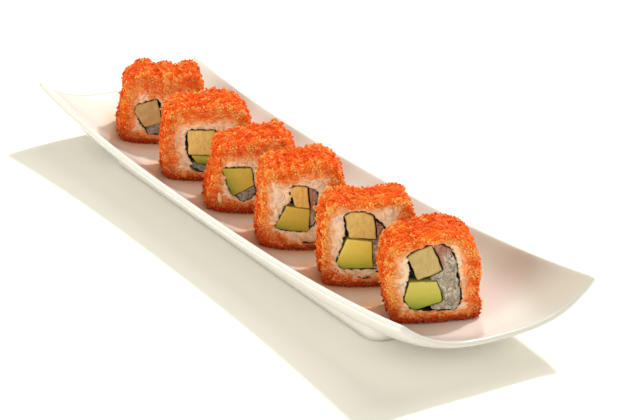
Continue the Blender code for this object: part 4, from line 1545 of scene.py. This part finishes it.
    def fill(self, mats, folds, nori_mat):
        made = {}
        reach = {"egg": 15.25, "avocado": 15.05, "crab": 14.55}
        relief = {"egg": 0.10, "avocado": 0.06, "crab": 0.0}
        for kind in self.fillings:
            corners = self.item[kind][::-1]
            radius = {"egg": 0.55, "avocado": 0.40, "crab": 2.0}[kind]
            outline = resample(rounded(corners, radius, 6), 100)
            n = outward(outline)
            wob = Wobble(500 + 7 * self.index + len(kind), 7.0, dims=2)
            fine = Wobble(600 + 7 * self.index + len(kind), 2.6, dims=2)
            loose = {"egg": 0.7, "avocado": 0.35, "crab": 1.4}[kind]
            outline = outline + n * (
                0.14 * loose * wob(outline[:, 0], outline[:, 1])
                + 0.06 * loose * fine(outline[:, 0], outline[:, 1]))[:, None]
            verts, faces = self.bar(outline, reach[kind], relief[kind],
                                    seed=len(kind) * 31)
            if kind == "crab":
                # torn flakes: ridges and creases in the cut faces
                y, z = verts[:, 1], verts[:, 2]
                end = np.abs(verts[:, 0]) > reach[kind] - 0.8
                flake = (0.26 * self.ripple(y, z, 0 * y)
                         + 0.30 * np.abs(self.knob(y * 0.8, z * 0.6, 0 * y))
                         - 0.10)
                verts[:, 0] += np.where(end, np.sign(verts[:, 0]) * flake, 0)
            made[kind] = (outline, self.local_object(
                "%s_%d_bar" % (kind, self.index), verts, faces))
        for kind in self.fillings:
            outline = made[kind][0]
            n = outward(outline)
            apart = 0.85 if kind == "egg" and self.index > 3 else 0.45
            for target, clear in (("crab", apart), ("folds", 0.06)):
                if target == "crab" and (kind == "crab"
                                         or "crab" not in made):
                    continue
                grown = resample(outline + n * clear, 72)
                verts, faces = self.bar(grown, 19.0, 0.0, rough_sides=0.0,
                                        rings=2, seed=len(kind) * 31)
                cutter = self.local_object("cut", verts, faces)
                self.carve(made["crab"][1] if target == "crab" else folds,
                           cutter)
                bpy.data.objects.remove(cutter)
        for kind, (outline, obj) in made.items():
            mesh = obj.data
            co = get_points(mesh)
            yz = co[:, 1:]
            mid = outline.mean(0)
            set_vector(mesh, "loc", np.column_stack([yz - mid, co[:, 0]]))
            if kind == "avocado":
                d = np.array(SKIN[self.index])
                d = d / np.linalg.norm(d)
                h = yz @ d
                full = outline @ d
                f = (h - full.min()) / (full.max() - full.min())
                set_float(mesh, "skin", f)
                set_vector(mesh, "tint", np.tile(AVOCADO[self.index],
                                                 (len(co), 1)))
            elif kind == "egg":
                dist = np.linalg.norm(yz[:, None] - outline[None],
                                      axis=2).min(1)
                set_float(mesh, "rim", np.exp(-dist / 0.35))
                set_vector(mesh, "tint", np.tile(EGG[self.index],
                                                 (len(co), 1)))
            else:
                lo, hi, most = PINK[self.index]
                pink = most * smoothstep(lo, hi, yz[:, 1])
                if "egg" in made and self.index > 3:
                    # the stick's red skin lies against the omelette
                    close = np.linalg.norm(yz[:, None] - made["egg"][0][None],
                                           axis=2).min(1)
                    pink = np.maximum(pink, smoothstep(3.4, 1.4, close)
                                      * smoothstep(27, 31, yz[:, 1]))
                set_float(mesh, "pink", pink)
                set_vector(mesh, "tint", np.tile(CRAB[self.index],
                                                 (len(co), 1)))
            self.settle_mesh(mesh, co)
            mesh.materials.clear()
            mesh.materials.append(mats[kind])
            mesh.shade_smooth()
            mesh.set_sharp_from_angle(angle=math.radians(50))
            obj.name = "%s_%d_cut" % (kind, self.index)
            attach(obj, "root")
            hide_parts("%s_%d" % (kind, self.index))
        if len(folds.data.polygons):
            self.settle_mesh(folds.data, get_points(folds.data))
            folds.data.materials.clear()
            folds.data.materials.append(nori_mat)
            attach(folds, "root")
        else:
            bpy.data.objects.remove(folds)

    def settle_mesh(self, mesh, co):
        mesh.vertices.foreach_set("co", (self.place(co) * MM).astype(
            np.float32).ravel())
        mesh.update()


def get_points(mesh):
    co = np.zeros(len(mesh.vertices) * 3, np.float32)
    mesh.vertices.foreach_get("co", co)
    return co.reshape(-1, 3).astype(float)


def tidy(obj):
    """Faces outwards, and is shaded smooth."""
    bm = bmesh.new()
    bm.from_mesh(obj.data)
    bmesh.ops.recalc_face_normals(bm, faces=bm.faces)
    if bm.calc_volume(signed=True) < 0:
        bmesh.ops.reverse_faces(bm, faces=bm.faces)
    bm.to_mesh(obj.data)
    bm.free()
    obj.data.shade_smooth()


# ---------------------------------------------------------------------------
# Stage, light and camera
# ---------------------------------------------------------------------------
# The studio: an even pale sky, the sun-like key behind the plate on the
# left, a broad light overhead, and two fills, from the right and from low in
# front.
LIGHTS = {
    "sky": (0.425, 0.412, 0.360),
    "suns": {
        "key": ((-0.27, 0.63, 0.80), 2.02, 4.0, (1.0, 1.0, 0.99)),
        "top": ((-0.17, 0.48, 1.0), 0.86, 40.0, (1.0, 0.975, 0.89)),
        "right": ((0.90, -0.25, 0.36), 1.10, 45.0, (1.0, 0.97, 0.90)),
        "front": ((-0.12, -0.95, 0.20), 1.20, 42.0, (1.0, 0.99, 0.94)),
    },
}


def stage():
    floor_mesh = mesh_from("table", np.array([[-4, -4, 0], [4, -4, 0],
                                              [4, 4, 0], [-4, 4, 0]]) * 1.0,
                           np.array([[0, 1, 2, 3]]), smooth=False)
    m = Mat("table_white", Roughness=0.9)
    m.colour(m.ramp(m.noise(3.0, 2.0), [(0.0, (0.93, 0.91, 0.85)),
                                        (1.0, (0.95, 0.93, 0.87))]))
    m.shader.inputs["Specular IOR Level"].default_value = 0.1
    floor = new_object("table", floor_mesh, m.mat)

    world = bpy.data.worlds.new("studio")
    bpy.context.scene.world = world
    world.use_nodes = True
    back = world.node_tree.nodes["Background"]
    back.inputs["Color"].default_value = (*LIGHTS["sky"][:3], 1.0)
    back.inputs["Strength"].default_value = 1.0
    for name, (toward, energy, angle, colour) in LIGHTS["suns"].items():
        if energy <= 0:
            continue
        lamp = bpy.data.lights.new(name, 'SUN')
        lamp.energy = energy
        lamp.angle = math.radians(angle)
        lamp.color = colour
        lamp.specular_factor = 1.0 if name == "key" else 0.4
        key = bpy.data.objects.new(name, lamp)
        bpy.context.scene.collection.objects.link(key)
        key.rotation_mode = 'QUATERNION'
        key.rotation_quaternion = Vector(toward).normalized() \
            .to_track_quat('Z', 'Y')

    cam = bpy.data.cameras.new("camera")
    cam.sensor_width = 36.0
    cam.lens = 110.6
    cam.clip_start = 0.05
    cam.clip_end = 30.0
    obj = bpy.data.objects.new("camera", cam)
    bpy.context.scene.collection.objects.link(obj)
    eye = Vector((809.08, -461.17, 386.39)) * MM
    aim = Vector((24.40, 3.67, 20.0)) * MM
    obj.location = eye
    obj.rotation_mode = 'QUATERNION'
    obj.rotation_quaternion = (eye - aim).to_track_quat('Z', 'Y')
    bpy.context.scene.camera = obj
    bpy.context.scene.view_settings.view_transform = 'Standard'


def main():
    make_plate(porcelain())
    grain, bed, rice, nori = roe_grain(), roe_bed(), rice_grain(), nori_sheet()
    flesh = {"egg": egg_flesh(), "avocado": avocado_flesh(),
             "crab": crab_flesh()}
    for index, item in enumerate(SLICES, start=1):
        roll = Roll(index, item)
        roll.roe(grain, bed)
        roll.rice(rice)
        folds = roll.nori(nori)
        roll.fill(flesh, folds, nori)
    stage()


main()
